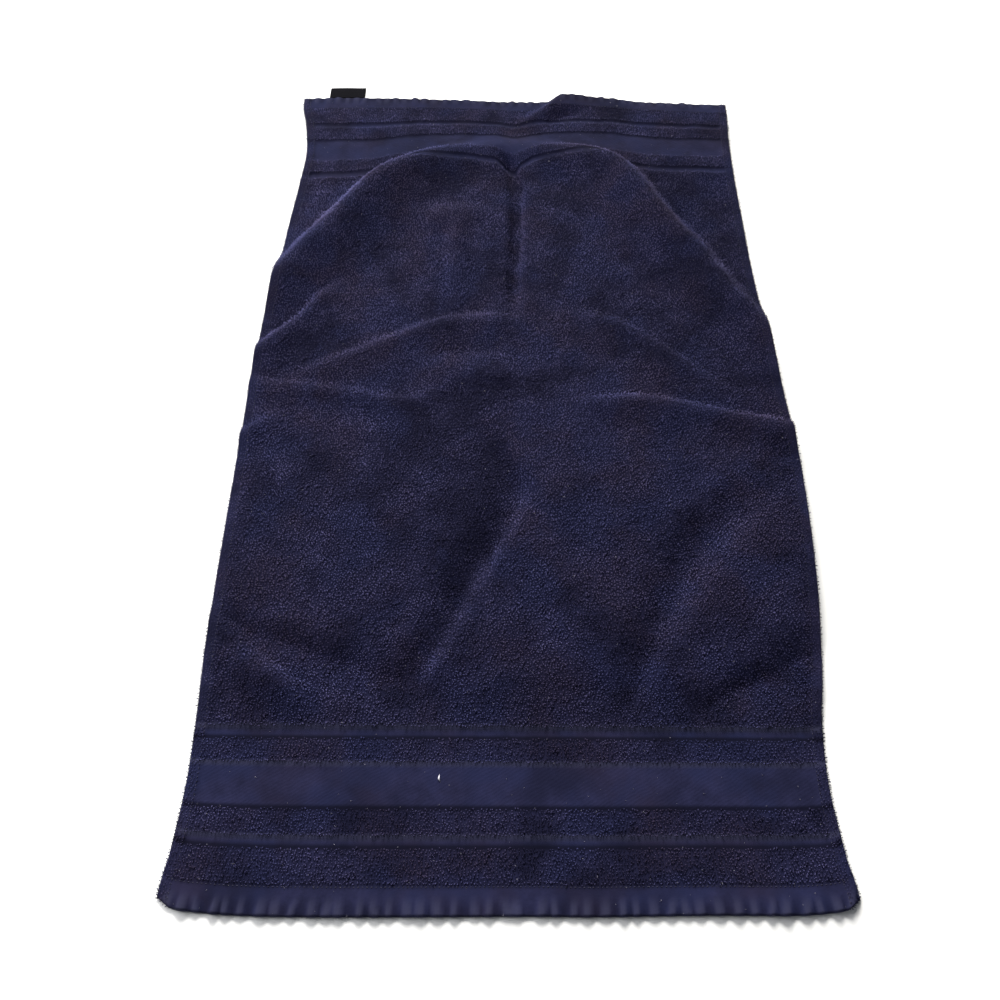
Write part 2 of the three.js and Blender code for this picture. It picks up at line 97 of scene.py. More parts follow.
def cubic(a: Array, b: Array, c: Array, d: Array, t: Array) -> Array:
    """Runs a smooth line through four values in a row.

    Args:
        a: Value before the stretch.
        b: Value where the stretch starts.
        c: Value where it ends.
        d: Value after the stretch.
        t: Share of the way from b to c.

    Returns:
        The value at that share.
    """
    t2 = t * t
    t3 = t2 * t
    start = (2 * t3 - 3 * t2 + 1) * b + (t3 - 2 * t2 + t) * (c - a) / 2
    return start + (3 * t2 - 2 * t3) * c + (t3 - t2) * (d - b) / 2


def blend_rows(places: Array, rows: Array, place: Array) -> Array:
    """Reads a table of rows between its places.

    Args:
        places: Where each row stands, rising.
        rows: One row of values for each place, the same for all points or one column a point.
        place: Where to read, one for each point.

    Returns:
        One value for each point, on a smooth line through the rows.
    """
    flat = np.ravel(np.asarray(place, float))
    last = len(places) - 1
    i = np.clip(np.searchsorted(places, flat, side="right") - 1, 0, last - 1)
    t = np.clip((flat - places[i]) / (places[i + 1] - places[i]), 0.0, 1.0)
    column = np.arange(len(flat)) if rows.shape[1] > 1 else np.zeros(len(flat), int)
    corners = [rows[np.clip(i + k, 0, last), column] for k in (-1, 0, 1, 2)]
    return cubic(*corners, t).reshape(np.shape(place))


def read_table(rows: Rows, column: int, place: Array) -> Array:
    """Returns one column of a table at each place, the first column being the places."""
    values = np.array(rows, float)
    return blend_rows(values[:, 0], values[:, column, None], place)


# The towel's plan: outline, bands, lift and folds


@dataclass(frozen=True)
class Outline:
    """Edges of the towel as it lies, in plan millimetres."""

    # Along the sides: place along the towel, left edge, right edge
    sides: Rows = (
        (-443, -243, 238), (-434, -249, 246), (-420, -249, 246), (-400, -246, 242),
        (-350, -243, 237.5), (-300, -244, 239.5), (-250, -246, 247), (-150, -247, 253.5),
        (-50, -247, 254.5), (50, -246, 247), (150, -240, 240), (250, -236, 238),
        (300, -233, 235.5), (350, -231, 235.5), (400, -237, 238.5), (430, -244, 240),
        (452, -245.5, 240),
    )
    # Across the ends: place across the towel, near edge, far edge
    ends: Rows = (
        (-250, -430, 447.5), (-238, -437.5, 448), (-200, -441, 448), (-150, -442, 447),
        (-50, -441, 441), (20, -440, 436), (56, -440, 438), (100, -439, 436),
        (150, -438, 431), (205, -437.5, 427), (236, -434, 425), (250, -425, 424),
    )
    near_field_line: float = -305.0
    far_field_line: float = 307.0
    # How far the weave's lines bow away across the arch, at places across the far end
    far_bow: Rows = (
        (-250, 0), (-160, 2), (-110, 17), (-60, 22), (-20, 19), (-8, 11), (0, 6),
        (8, 11), (20, 19), (60, 22), (105, 16), (150, 3), (250, 0),
    )
    bow_start: float = 240.0
    # Row of the sides whose width sets how many columns the sheet has
    measured_row: int = 7
    edge_passes: int = 3

    def side(self, column: int, y: Array) -> Array:
        """Returns the left edge (1) or the right edge (2) at each place along the towel."""
        return read_table(self.sides, column, y)

    def end(self, column: int, x: Array) -> Array:
        """Returns the near edge (1) or the far edge (2) at each place across the towel."""
        return read_table(self.ends, column, x)

    def bow(self, x: Array) -> Array:
        """Returns how far the far field line bows away at each place across the towel."""
        return read_table(self.far_bow, 1, x)


class Weave(Enum):
    """What a band of the towel is woven or sewn as."""

    HEM = "hem"
    STRIPE = "stripe"
    GROOVE = "groove"
    BORDER = "border"
    FIELD = "field"


LOOPED = (Weave.STRIPE, Weave.FIELD)
FLAT = (Weave.GROOVE, Weave.BORDER)


@dataclass(frozen=True)
class Band:
    """One band across an end of the towel, in millimetres."""

    weave: Weave
    width: float
    thickness: float


@dataclass(frozen=True)
class Bands:
    """Bands of an end, from the fold of its hem to the pile field, in millimetres."""

    rows: tuple[Band, ...] = (
        Band(Weave.HEM, 20.5, 2.9),
        Band(Weave.STRIPE, 26.5, 3.8),
        Band(Weave.GROOVE, 7.0, 1.5),
        Band(Weave.STRIPE, 21.0, 3.8),
        Band(Weave.BORDER, 33.0, 1.9),
        Band(Weave.STRIPE, 20.0, 3.8),
        Band(Weave.GROOVE, 8.0, 1.5),
        Band(Weave.FIELD, 400.0, 4.2),
    )
    side_hem_width: float = 10.0
    side_hem_thickness: float = 2.7
    step_width: float = 1.8
    # Painted shade in the crevice before each pile stripe and along the hem line, weaker at the far
    # end
    crevice_lead: float = 1.0
    crevice_reach: float = 2.4
    crevice_floor: float = 0.3
    far_crevice_reach: float = 3.6
    far_shade_share: float = 0.55
    # Painted highlight on the ground under the ends of loops that hang over a groove or the border
    fringe_lead: float = 1.2
    fringe_shift: float = 0.5
    fringe_reach: float = 4.0
    # Painted highlight on the loops where a pile band ends towards the viewer
    rim_reach: float = 3.4
    # Share of painted shade along the hem line
    hem_line_shade: float = 0.7
    # How much of a pile's thickness is its loops, which stand on the ground as pieces of their own
    loop_share: float = 1.5

    def starts(self) -> list[float]:
        """Returns the distance from the hem's fold at which each band starts."""
        return [sum(band.width for band in self.rows[:i]) for i in range(len(self.rows))]

    def length(self) -> float:
        """Returns the distance from the hem's fold to the pile field."""
        return self.starts()[-1]

    def edges(self, weaves: tuple[Weave, ...]) -> list[tuple[float, float]]:
        """Returns where each band of some weaves starts and ends, from the hem's fold."""
        pairs = zip(self.rows, self.starts())
        return [(start, start + band.width) for band, start in pairs if band.weave in weaves]

    def inside(self, side_distance: Array) -> Array:
        """Returns 1 inside the side hems, falling to 0 on them."""
        return smoothstep((side_distance - self.side_hem_width + self.step_width) / self.step_width)

    def painted_crevice_shade(self, distance: Array, facing: Array) -> Array:
        """Works out the painted shade in the crevice before each pile stripe and along the hem line.

        Args:
            distance: Distance of each point from the hem's fold.
            facing: 1 where the fold is on the viewer's side, -1 where it is on the far side.

        Returns:
            The share of painted shade: 1 in a crevice, 0 away from all of them.
        """
        hem = self.rows[0].width
        painted_shade_share = self.hem_line_shade * (1.0 - smoothstep(np.abs(distance - hem) / self.crevice_reach))
        reach = np.where(facing > 0, self.crevice_reach, self.far_crevice_reach)
        for start, _ in self.edges(FLAT):
            share = fading(distance - start, self.crevice_lead, reach, self.crevice_floor)
            painted_shade_share = np.maximum(painted_shade_share, share)
        return painted_shade_share * np.where(facing > 0, 1.0, self.far_shade_share)

    def fringe_highlights(self, distance: Array, facing: Array) -> Array:
        """Works out a painted highlight on the ground where loops hang over a groove or the border
        on the viewer's side, where their shadow falls.

        Args:
            distance: Distance of each point from the hem's fold.
            facing: As for the painted crevice shade.

        Returns:
            1 under the ends of the loops, 0 away from them.
        """
        cover = np.zeros_like(distance)
        for _, end in self.edges(FLAT):
            apart = end + self.fringe_shift - distance
            share = fading(apart, self.fringe_lead, self.fringe_reach)
            cover = np.maximum(cover, np.where(facing > 0, share, 0.0))
        return cover

    def rim_highlights(self, distance: Array, facing: Array) -> Array:
        """Works out a painted highlight on the loops where a pile band ends towards the viewer.

        Args:
            distance: Distance of each point from the hem's fold.
            facing: As for the painted crevice shade.

        Returns:
            1 at such an end, falling to 0 over the next loops.
        """
        rim = np.zeros_like(distance)
        for start, end in self.edges(LOOPED):
            for edge, side in ((end, 1.0), (start, -1.0)):
                share = fading((edge - distance) * side, 0.0, self.rim_reach)
                rim = np.maximum(rim, np.where(facing * side < 0, share, 0.0))
        return rim

    def read(self, distance: Array, levels: dict[Weave, float] | None = None) -> Array:
        """Reads a value that steps from band to band.

        Args:
            distance: Distances from the hem's fold.
            levels: The value on each weave, 0 where it names none, or None for the thickness
                of the ground.

        Returns:
            The value at each distance, with a short slope at each step.
        """
        places: list[float] = []
        values: list[float] = []
        for band, start in zip(self.rows, self.starts()):
            ground = band.thickness - (self.loop_share if band.weave in LOOPED else 0.0)
            level = ground if levels is None else levels.get(band.weave, 0.0)
            places += [start + self.step_width / 2, start + band.width - self.step_width / 2]
            values += [level, level]
        return np.interp(distance, places, values)


@dataclass(frozen=True)
class LiftTable:
    """How high the towel's underside stands before its folds, in millimetres."""

    across: tuple[float, ...] = (-250.0, -125.0, 0.0, 125.0, 250.0)
    # Place along the towel, then the lift at each place across it
    rows: Rows = (
        (-450, 0, 0, 0, 0, 0), (-306, 0, 0, 0, 0, 0), (-285, 0.5, 1.2, 1.5, 2, 1),
        (-262, 1.5, 4, 4.5, 6, 5), (-230, 2.5, 6, 6, 8, 6.5), (-180, 4, 8, 7, 8, 7),
        (-90, 5, 8, 8, 9, 7), (0, 7, 8, 7.5, 8, 7), (80, 9, 8, 7.5, 8, 8),
        (170, 8, 8, 7.5, 8, 5.5), (250, 4.5, 8, 7.5, 8, 4), (315, 4, 7, 5.5, 9, 9),
        (360, 4, 4, 5, 8, 8), (405, 3, 2, 2, 6, 5), (450, 0, 0, 0, 1, 0),
    )

    def at(self, x: Array, y: Array) -> Array:
        """Returns the lift at each point of the plan."""
        columns = [np.ravel(read_table(self.rows, i + 1, y)) for i in range(len(self.across))]
        return blend_rows(np.array(self.across), np.array(columns), x)


@dataclass(frozen=True)
class Fold:
    """One fold or trough of the cloth along a line.

    Each row of the line is a place across, a place along, the height there, and how far the fold
    reaches to the right and to the left of the line. A sharp fold is steep on its right at the line.
    """

    line: Rows
    sharp: bool = False
    steps: int = 6
    crest_rounding: float = 4.5
    steepness: float = 1.6

    def traced(self) -> Array:
        """Returns the line's rows with short even steps between them."""
        rows = np.array(self.line, float)
        last = len(rows) - 1
        share = np.arange(self.steps)[:, None] / self.steps
        traced = []
        for i in range(last):
            corners = [rows[min(max(i + k, 0), last)] for k in (-1, 0, 1, 2)]
            traced.append(cubic(*corners, share))
        return np.concatenate([*traced, rows[last:]])

    def height(self, x: Array, y: Array) -> Array:
        """Works out how high the fold stands.

        Args:
            x: Places across the towel.
            y: Places along it.

        Returns:
            Its height at each place, 0 beyond its reach.
        """
        rows = self.traced()
        reach = rows[:, 3:5].max()
        low = rows[:, :2].min(axis=0) - reach
        high = rows[:, :2].max(axis=0) + reach
        height = np.zeros_like(x)
        near = (x > low[0]) & (x < high[0]) & (y > low[1]) & (y < high[1])
        point = np.stack([x[near], y[near]], axis=1)[:, None, :]
        run = rows[1:, :2] - rows[:-1, :2]
        offset = point - rows[None, :-1, :2]
        share = np.clip((offset * run).sum(axis=2) / (run * run).sum(axis=1), 0.0, 1.0)
        apart = np.linalg.norm(offset - share[:, :, None] * run, axis=2)
        best = apart.argmin(axis=1)
        pick = np.arange(len(best))
        distance = apart[pick, best]
        at = rows[best] + (rows[best + 1] - rows[best]) * share[pick, best][:, None]
        turn = run[best, 0] * offset[pick, best, 1] - run[best, 1] * offset[pick, best, 0]
        on_right = turn < 0
        soft = 1.0 - smoothstep(distance / np.where(on_right, at[:, 3], at[:, 4]))
        if self.sharp:
            rounded = np.hypot(distance, self.crest_rounding) - self.crest_rounding
            steep = np.maximum(1.0 - rounded / at[:, 3], 0.0) ** self.steepness
            soft = np.where(on_right, steep, soft)
        height[near] = at[:, 2] * soft
        return height


@dataclass(frozen=True)
class Folds:
    """Every fold and trough of the towel, as the cloth was dropped."""

    all: tuple[Fold, ...] = (
        # Arch
        Fold((
            (-262, 124, 11, 50, 25), (-239, 150, 14, 55, 25), (-194, 217, 18, 60, 25),
            (-164, 263, 19, 62, 25), (-140, 298, 18, 60, 24), (-105, 325, 14, 48, 25),
            (-55, 343, 8, 44, 28), (0, 350, 5, 42, 32), (45, 340, 9, 46, 26),
            (88, 326, 16, 48, 24), (108, 308, 18, 54, 25), (128, 276, 20, 58, 25),
            (154, 226, 19, 58, 25), (183, 182, 17, 54, 25), (211, 128, 14, 48, 24),
            (236, 91, 11, 42, 22), (262, 56, 9, 45, 22),
        ), sharp=True, crest_rounding=10.0),
        # Centre crease
        Fold((
            (-14, 342, -2, 14, 12), (-2, 318, -10, 14, 10), (4, 285, -13, 13, 9),
            (5, 225, -11, 13, 9), (3, 160, -8, 13, 10), (2, 95, 0, 15, 12),
        )),
        # Left wrinkle
        Fold((
            (-262, 48, 6, 30, 11), (-240, 64, 7, 32, 11), (-206, 97, 7, 32, 11),
            (-187, 128, 5, 28, 11), (-165, 148, 0, 20, 12),
        ), sharp=True),
        # Second arch, left
        Fold((
            (-205, 28, 0, 34, 12), (-178, 42, 3.5, 36, 12), (-131, 64, 4.5, 38, 12),
            (-88, 86, 5.5, 38, 12), (-52, 98, 5, 36, 12), (-15, 100, 3.5, 32, 12),
            (20, 100, 0, 30, 12),
        ), sharp=True),
        # Second arch, right
        Fold((
            (55, 106, 0, 34, 12), (85, 98, 3.5, 36, 12), (121, 76, 4, 36, 12),
            (162, 40, 3.5, 30, 12), (196, 14, 2, 26, 12), (225, -6, 0, 26, 12),
        ), sharp=True),
        # Patch below the second arch
        Fold((
            (-100, 34, 0, 26, 26), (-64, 37, 3.2, 30, 28), (-19, 37, 3.2, 30, 28), (20, 36, 0, 26, 26),
        )),
        # Third arch, left
        Fold((
            (-262, 28, 2.5, 20, 10), (-223, 20, 3, 20, 10), (-179, 15, 3, 22, 10),
            (-134, 6, 3, 22, 10), (-90, 2, 2.5, 20, 10), (-60, 22, 0, 18, 10),
        ), sharp=True),
        # Third arch, right
        Fold((
            (55, 2, 0, 24, 10), (81, 0, 4, 28, 10), (117, 1, 5, 30, 10), (158, -7, 5.5, 30, 10),
            (199, -18, 5.5, 30, 10), (262, -30, 5, 28, 10),
        ), sharp=True),
        # Left edge wrinkle
        Fold((
            (-262, -42, 4, 18, 9), (-236, -28, 4, 18, 9), (-206, -8, 0, 14, 9),
        ), sharp=True),
        # Rib beside the crease
        Fold((
            (-52, 244, 0, 12, 18), (-59, 217, 3.5, 14, 20), (-60, 163, 4, 14, 20),
            (-55, 101, 0, 10, 18),
        )),
        # Bump in the left lobe
        Fold((
            (-112, 246, 0, 24, 20), (-76, 244, 3, 28, 22), (-39, 248, 3, 26, 20),
            (-18, 248, 0, 24, 20),
        )),
        # Left near trough
        Fold((
            (-30, -20, 0, 26, 14), (-12, -55, -4, 30, 15), (6, -92, -6, 32, 15),
            (-8, -132, -6.5, 32, 15), (-33, -180, -6.5, 32, 15), (-52, -223, -6, 30, 14),
            (-72, -262, -4, 26, 13), (-84, -292, 0, 22, 12),
        )),
        # Right near trough
        Fold((
            (228, -84, 0, 28, 24), (194, -118, -5, 36, 26), (160, -150, -6.5, 38, 28),
            (138, -186, -7, 36, 26), (118, -226, -6, 32, 22), (102, -262, -4, 28, 18),
            (88, -298, 0, 20, 14),
        )),
        # Near left slope
        Fold((
            (-262, -218, -1, 22, 28), (-215, -237, -5, 22, 32), (-165, -254, -7, 20, 32),
            (-120, -268, -7, 20, 32), (-80, -280, -3, 18, 26), (-60, -290, 0, 16, 20),
        )),
        # Near left wrinkle
        Fold((
            (-262, -208, 2, 30, 14), (-233, -226, 5, 34, 14), (-203, -249, 6.5, 34, 14),
            (-178, -272, 5.5, 30, 13), (-158, -298, 0, 20, 10),
        )),
        # Near right hollow
        Fold((
            (262, -225, -3, 34, 30), (225, -258, -7, 36, 32), (180, -286, -6, 30, 30),
            (140, -304, 0, 22, 20),
        )),
        # Pinch in the far hem
        Fold((
            (6, 392, 0, 18, 12), (22, 406, 4, 24, 11), (42, 424, 7, 36, 11),
            (60, 446, 10, 66, 12), (66, 456, 10, 84, 12),
        ), sharp=True),
        # Pocket beside the pinch
        Fold((
            (30, 396, 0, 12, 12), (56, 408, -3, 14, 14), (84, 414, 0, 12, 12),
        )),
    )

    def height(self, x: Array, y: Array) -> Array:
        """Returns the height of all folds together at each point."""
        return sum(fold.height(x, y) for fold in self.all)


@dataclass(frozen=True)
class Ripple:
    """Small unevenness of soft cloth: long low waves in every direction."""

    height: float = 0.55
    shortest: float = 16.0
    longest: float = 60.0
    waves: int = 26
    seed: int = SEED

    def at(self, x: Array, y: Array) -> Array:
        """Adds up the waves.

        Args:
            x: Places across the towel.
            y: Places along it.

        Returns:
            The ripple's height at each place.
        """
        draw = np.random.default_rng(self.seed)
        total = np.zeros_like(x)
        for _ in range(self.waves):
            length = draw.uniform(self.shortest, self.longest)
            turn = draw.uniform(0.0, 2 * np.pi)
            start = draw.uniform(0.0, 2 * np.pi)
            along = x * np.cos(turn) + y * np.sin(turn)
            total += np.sin(along * 2 * np.pi / length + start) * length / self.longest
        return self.height * total / np.sqrt(self.waves)


@dataclass(frozen=True)
class Puckers:
    """Short gathers along the fold of an end hem, each with its own place, height and lean."""

    count: int = 43
    height: float = 2.3
    height_spread: float = 0.6
    reach: float = 15.0
    reach_spread: float = 2.0
    half_width: float = 4.8
    width_spread: float = 1.1
    place_spread: float = 1.3
    lean_spread: float = 0.12
    least_height: float = 0.6
    least_reach: float = 6.0
    rise_start: float = 0.35
    rise_reach: float = 1.2
    scallop: float = 0.35
    scallop_reach: float = 7.0
    # Painted shade between the gathers, and painted highlight on their crests and along the fold's
    # edge
    shade: float = 0.55
    nose_highlight: float = 0.8
    nose_reach: float = 2.2

    def at(
        self, across: Array, distance: Array, width: float, seed: int
    ) -> tuple[Array, Array, Array, Array]:
        """Works out the gathers of one hem.

        Args:
            across: Distance of each point from the hem's left end.
            distance: Distance of each point from the hem's fold.
            width: Length of the hem.
            seed: Start of its random places.

        Returns:
            The height of the gathers, how far they push the fold outwards, the painted shade between
            two of them, and the painted highlight on their crests and at the fold's edge, the last two
            from 0 to 1.
        """
        draw = np.random.default_rng(seed)
        height = np.zeros_like(across)
        push = np.zeros_like(across)
        crests = np.zeros_like(across)
        for i in range(self.count):
            middle = (i + 0.5) * width / self.count + draw.normal(0.0, self.place_spread)
            lean = draw.normal(0.0, self.lean_spread)
            crest = max(self.height + draw.normal(0.0, self.height_spread), self.least_height)
            reach = max(self.reach + draw.normal(0.0, self.reach_spread), self.least_reach)
            half_width = self.half_width + draw.uniform(-self.width_spread, self.width_spread)
            aside = (across - middle - lean * distance) / half_width
            bump = np.maximum(1.0 - aside * aside, 0.0)
            fading = 1.0 - smoothstep(distance / reach - 0.15)
            height = np.maximum(height, crest * bump * fading)
            push = np.maximum(push, self.scallop * bump * crest / self.height)
            crests = np.maximum(crests, bump)
        # Painted shade between the gathers, then painted highlight on their crests and at the fold's
        # edge
        fading = 1.0 - smoothstep(distance / self.reach - 0.05)
        painted_shade_share = (1.0 - smoothstep(crests / 0.8)) * fading * self.shade
        nose_highlight = self.nose_highlight * (1.0 - smoothstep(distance / self.nose_reach))
        ridge = np.maximum(smoothstep((crests - 0.45) / 0.5) * fading, nose_highlight)
        return height, push, painted_shade_share, ridge


@dataclass(frozen=True)
class Edge:
    """How the cloth rounds off at its edges."""

    rise: float = 0.45
    rounding: float = 1.8

    def share(self, inwards: Array) -> Array:
        """Returns the share of the thickness at each distance from the edge."""
        left = 1.0 - np.clip(inwards / self.rounding, 0.0, 1.0)
        return self.rise + (1.0 - self.rise) * np.sqrt(1.0 - left * left)


class End(Enum):
    """Which part of the towel a row across it belongs to."""

    NEAR = -1
    MIDDLE = 0
    FAR = 1


@dataclass(frozen=True)
class Row:
    """A line across the towel: its distance from the hem's fold, or its place in the field."""

    end: End
    place: float


@dataclass(frozen=True)
class Towel:
    """Shape of the whole cloth: its plan, its thickness and how it lies."""

    outline: Outline = Outline()
    bands: Bands = Bands()
    lift: LiftTable = LiftTable()
    folds: Folds = Folds()
    ripple: Ripple = Ripple()
    puckers: Puckers = Puckers()
    far_puckers: Puckers = Puckers(height=0.9, scallop=0.0)
    edge: Edge = Edge()
    band_spacing: float = 2.4
    field_spacing: float = 3.4
    column_spacing: float = 2.3
    edge_steps: tuple[float, ...] = (0.0, 0.5, 1.2, 2.2, 4.2, 6.2, 8.2, 10.0)
    # The lift from which the cloth ripples fully
    full_lift: float = 4.0

    def rows(self) -> list[Row]:
        """Returns the rows of the sheet from the near fold to the far fold."""
        distances = [d for d in self.edge_steps if d < self.bands.rows[0].width / 4]
        half = self.bands.step_width / 2
        for band, start in zip(self.bands.rows[:-1], self.bands.starts()):
            first = distances[-1] if start == 0.0 else start + half
            last = start + band.width - half
            count = max(round((last - first) / self.band_spacing), 1)
            inner = np.linspace(first, last, count + 1)
            distances += list(inner[1:] if start == 0.0 else inner)
        distances.append(self.bands.length() + half)
        low, high = self.outline.near_field_line + half, self.outline.far_field_line - half
        count = round((high - low) / self.field_spacing)
        middle = np.linspace(low, high, count + 1)[1:-1]
        near = [Row(End.NEAR, d) for d in distances]
        far = [Row(End.FAR, d) for d in reversed(distances)]
        return near + [Row(End.MIDDLE, y) for y in middle] + far

    def along(self, row: Row, x: Array) -> Array:
        """Follows a row across the towel.

        Args:
            row: The row.
            x: Places across the towel.

        Returns:
            Where the row lies along the towel at each place.
        """
        outline = self.outline
        if row.end is End.MIDDLE:
            reach = outline.far_field_line - outline.bow_start
            return row.place + outline.bow(x) * smoothstep((row.place - outline.bow_start) / reach)
        near = row.end is End.NEAR
        fold = outline.end(1 if near else 2, x)
        line = outline.near_field_line if near else outline.far_field_line + outline.bow(x)
        return fold + row.place / self.bands.length() * (line - fold)

    def hem_distance(self, row: Row) -> float:
        """Returns a row's distance from the nearer hem's fold, large in the field."""
        return self.bands.length() + self.bands.step_width if row.end is End.MIDDLE else row.place

    def span(self, row: Row) -> tuple[float, float]:
        """Finds the two ends of a row.

        Args:
            row: The row.

        Returns:
            Where it meets the left and the right edge, across the towel.
        """
        met = [np.array([edge], float) for edge in self.outline.sides[0][1:]]
        for _ in range(self.outline.edge_passes):
            met = [self.outline.side(i + 1, self.along(row, x)) for i, x in enumerate(met)]
        return float(met[0][0]), float(met[1][0])

    def insets(self) -> tuple[Array, Array]:
        """Lists the columns of the sheet.

        Returns:
            Each column's fixed distance from the left edge or, past the middle, from the right
            edge, and its share of the width between the two side hems.
        """
        _, low, high = self.outline.sides[self.outline.measured_row]
        count = round((high - low - 2 * self.bands.side_hem_width) / self.column_spacing)
        left = np.array(self.edge_steps)
        fixed = np.concatenate([left, np.full(count - 1, left[-1]), left[::-1]])
        inner = np.arange(1, count) / count
        share = np.concatenate([np.zeros(len(left)), inner, np.ones(len(left))])
        return fixed, share

    def underside(self, x: Array, y: Array) -> Array:
        """Adds up what lifts the cloth.

        Args:
            x: Places across the towel.
            y: Places along it.

        Returns:
            How high the underside stands at each place.
        """
        lift = self.lift.at(x, y)
        fullness = smoothstep(lift / self.full_lift)
        raised = lift + self.folds.height(x, y) + self.ripple.at(x, y) * fullness
        return np.maximum(raised, 0.0)


@dataclass
class ClothGrid:
    """Points of the sheet, one row of each array for each row of the cloth."""

    x: Array
    y: Array
    under: Array
    top: Array
    hem_distance: Array
    side_distance: Array
    facing_near: Array
    # Share of painted shade in crevices and between the hem's gathers
    crease: Array
    # Share of painted highlight on the gathers, at the folds' edges and under the ends of loops
    ridge: Array

    @classmethod
    def of(cls, towel: Towel) -> "ClothGrid":
        """Lays out a towel's points.

        Args:
            towel: The cloth to lay out.

        Returns:
            Its grid, in plan millimetres.
        """
        rows = towel.rows()
        fixed, share = towel.insets()
        right_half = np.arange(len(fixed)) >= len(fixed) / 2
        x, y, side, lift, crease, ridge = np.zeros((6, len(rows), len(fixed)))
        inner = towel.bands.side_hem_width
        for i, row in enumerate(rows):
            left, right = towel.span(row)
            even = left + inner + share * (right - left - 2 * inner)
            edges = np.where(right_half, right - fixed, left + fixed)
            in_field = (share > 0.0) & (share < 1.0)
            x[i] = np.where(in_field, even, edges)
            y[i] = towel.along(row, x[i])
            side[i] = np.minimum(x[i] - left, right - x[i])
            if row.end is not End.MIDDLE:
                seed = SEED + row.end.value
                puckers = towel.puckers if row.end is End.NEAR else towel.far_puckers
                height, push, crease[i], ridge[i] = puckers.at(
                    x[i] - left, np.full_like(x[i], row.place), right - left, seed
                )
                lift[i] = height * smoothstep(row.place / puckers.rise_reach + puckers.rise_start)
                y[i] += row.end.value * push * (1.0 - smoothstep(row.place / puckers.scallop_reach))
        hem = np.array([towel.hem_distance(row) for row in rows])[:, None] + np.zeros_like(x)
        flat = towel.bands.side_hem_thickness
        thickness = flat + (towel.bands.read(hem) - flat) * towel.bands.inside(side)
        thickness = thickness * towel.edge.share(np.minimum(side, hem))
        under = towel.underside(x, y)
        near_side = np.array([-1.0 if row.end is End.FAR else 1.0 for row in rows])
        facing = near_side[:, None] + np.zeros_like(x)
        # Painted shade in crevices, and painted highlight under the ends of loops that hang over
        crease = np.maximum(crease, towel.bands.painted_crevice_shade(hem, facing))
        ridge = np.maximum(ridge, towel.bands.fringe_highlights(hem, facing))
        return cls(x, y, under, under + thickness + lift, hem, side, facing, crease, ridge)

    def middle(self) -> Array:
        """Returns the middle of the box round the plan."""
        return np.array([(v.min() + v.max()) / 2 for v in (self.x, self.y)])


def in_scene(name: str, data: bpy.types.ID) -> Piece:
    """Returns a new object of some data, in the scene."""
    piece = bpy.data.objects.new(name, data)
    bpy.context.scene.collection.objects.link(piece)
    return piece


def smooth(mesh: bpy.types.Mesh) -> None:
    """Shades every face of a mesh smooth."""
    mesh.polygons.foreach_set("use_smooth", np.ones(len(mesh.polygons), bool))


def make_mesh(name: str, points: Array, faces: list[tuple[int, ...]]) -> Piece:
    """Makes a smooth-shaded mesh object.

    Args:
        name: Name of the object and its mesh.
        points: Corners in metres, one row each.
        faces: Corner numbers of each face, outwards.

    Returns:
        The new object, in the scene.
    """
    mesh = bpy.data.meshes.new(name)
    mesh.from_pydata([tuple(p) for p in points.tolist()], [], faces)
    smooth(mesh)
    mesh.update()
    return in_scene(name, mesh)


def store(piece: Piece, name: str, values: Array) -> None:
    """Keeps one number a corner on a piece's mesh under a name."""
    layer = piece.data.attributes.new(name, "FLOAT", "POINT")
    layer.data.foreach_set("value", np.ravel(values).astype(np.float32))


@dataclass
class Skin:
    """Points and faces of a closed sheet as they are added."""

    points: list[tuple[float, float, float]] = field(default_factory=list)
    faces: list[tuple[int, ...]] = field(default_factory=list)

    def add(self, points: Array, turned: bool) -> Array:
        """Adds a grid of points with a face between each four.

        Args:
            points: Places in metres, in rows and columns.
            turned: Whether the faces look down.

        Returns:
            The number of each point.
        """
        shape = points.shape[:2]
        number = len(self.points) + np.arange(shape[0] * shape[1]).reshape(shape)
        self.points += [tuple(p) for p in points.reshape(-1, 3)]
        faces = quads(number).reshape(-1, 4)
        self.faces += [tuple(q) for q in (faces[:, [0, 3, 2, 1]] if turned else faces).tolist()]
        return number

    def apart(self, a: int, b: int) -> float:
        """Returns the distance between two points."""
        return float(np.linalg.norm(np.subtract(self.points[a], self.points[b])))

    def join(self, first: Array, second: Array, turned: bool) -> None:
        """Fills the strip between two lines of points with triangles.

        Args:
            first: Numbers of one line of points.
            second: The line beside it, running the same way.
            turned: Whether the faces look the other way.
        """
        first, second = first.tolist(), second.tolist()
        i, j = 0, 0
        while i < len(first) - 1 or j < len(second) - 1:
            step_first = j == len(second) - 1 or (
                i < len(first) - 1
                and self.apart(first[i + 1], second[j]) <= self.apart(first[i], second[j + 1])
            )
            if step_first:
                face = (first[i], first[i + 1], second[j])
                i += 1
            else:
                face = (first[i], second[j + 1], second[j])
                j += 1
            self.faces.append(face[::-1] if turned else face)


def quads(values: Array) -> Array:
    """Returns the four corners' values of each quad of a grid, going round it."""
    corners = [values[:-1, :-1], values[:-1, 1:], values[1:, 1:], values[1:, :-1]]
    return np.stack(corners, axis=-1)


# Nodes


FLOAT, COLOUR, INTEGER = "NodeSocketFloat", "NodeSocketColor", "NodeSocketInt"
GEOMETRY, MATERIAL, COLLECTION = "NodeSocketGeometry", "NodeSocketMaterial", "NodeSocketCollection"


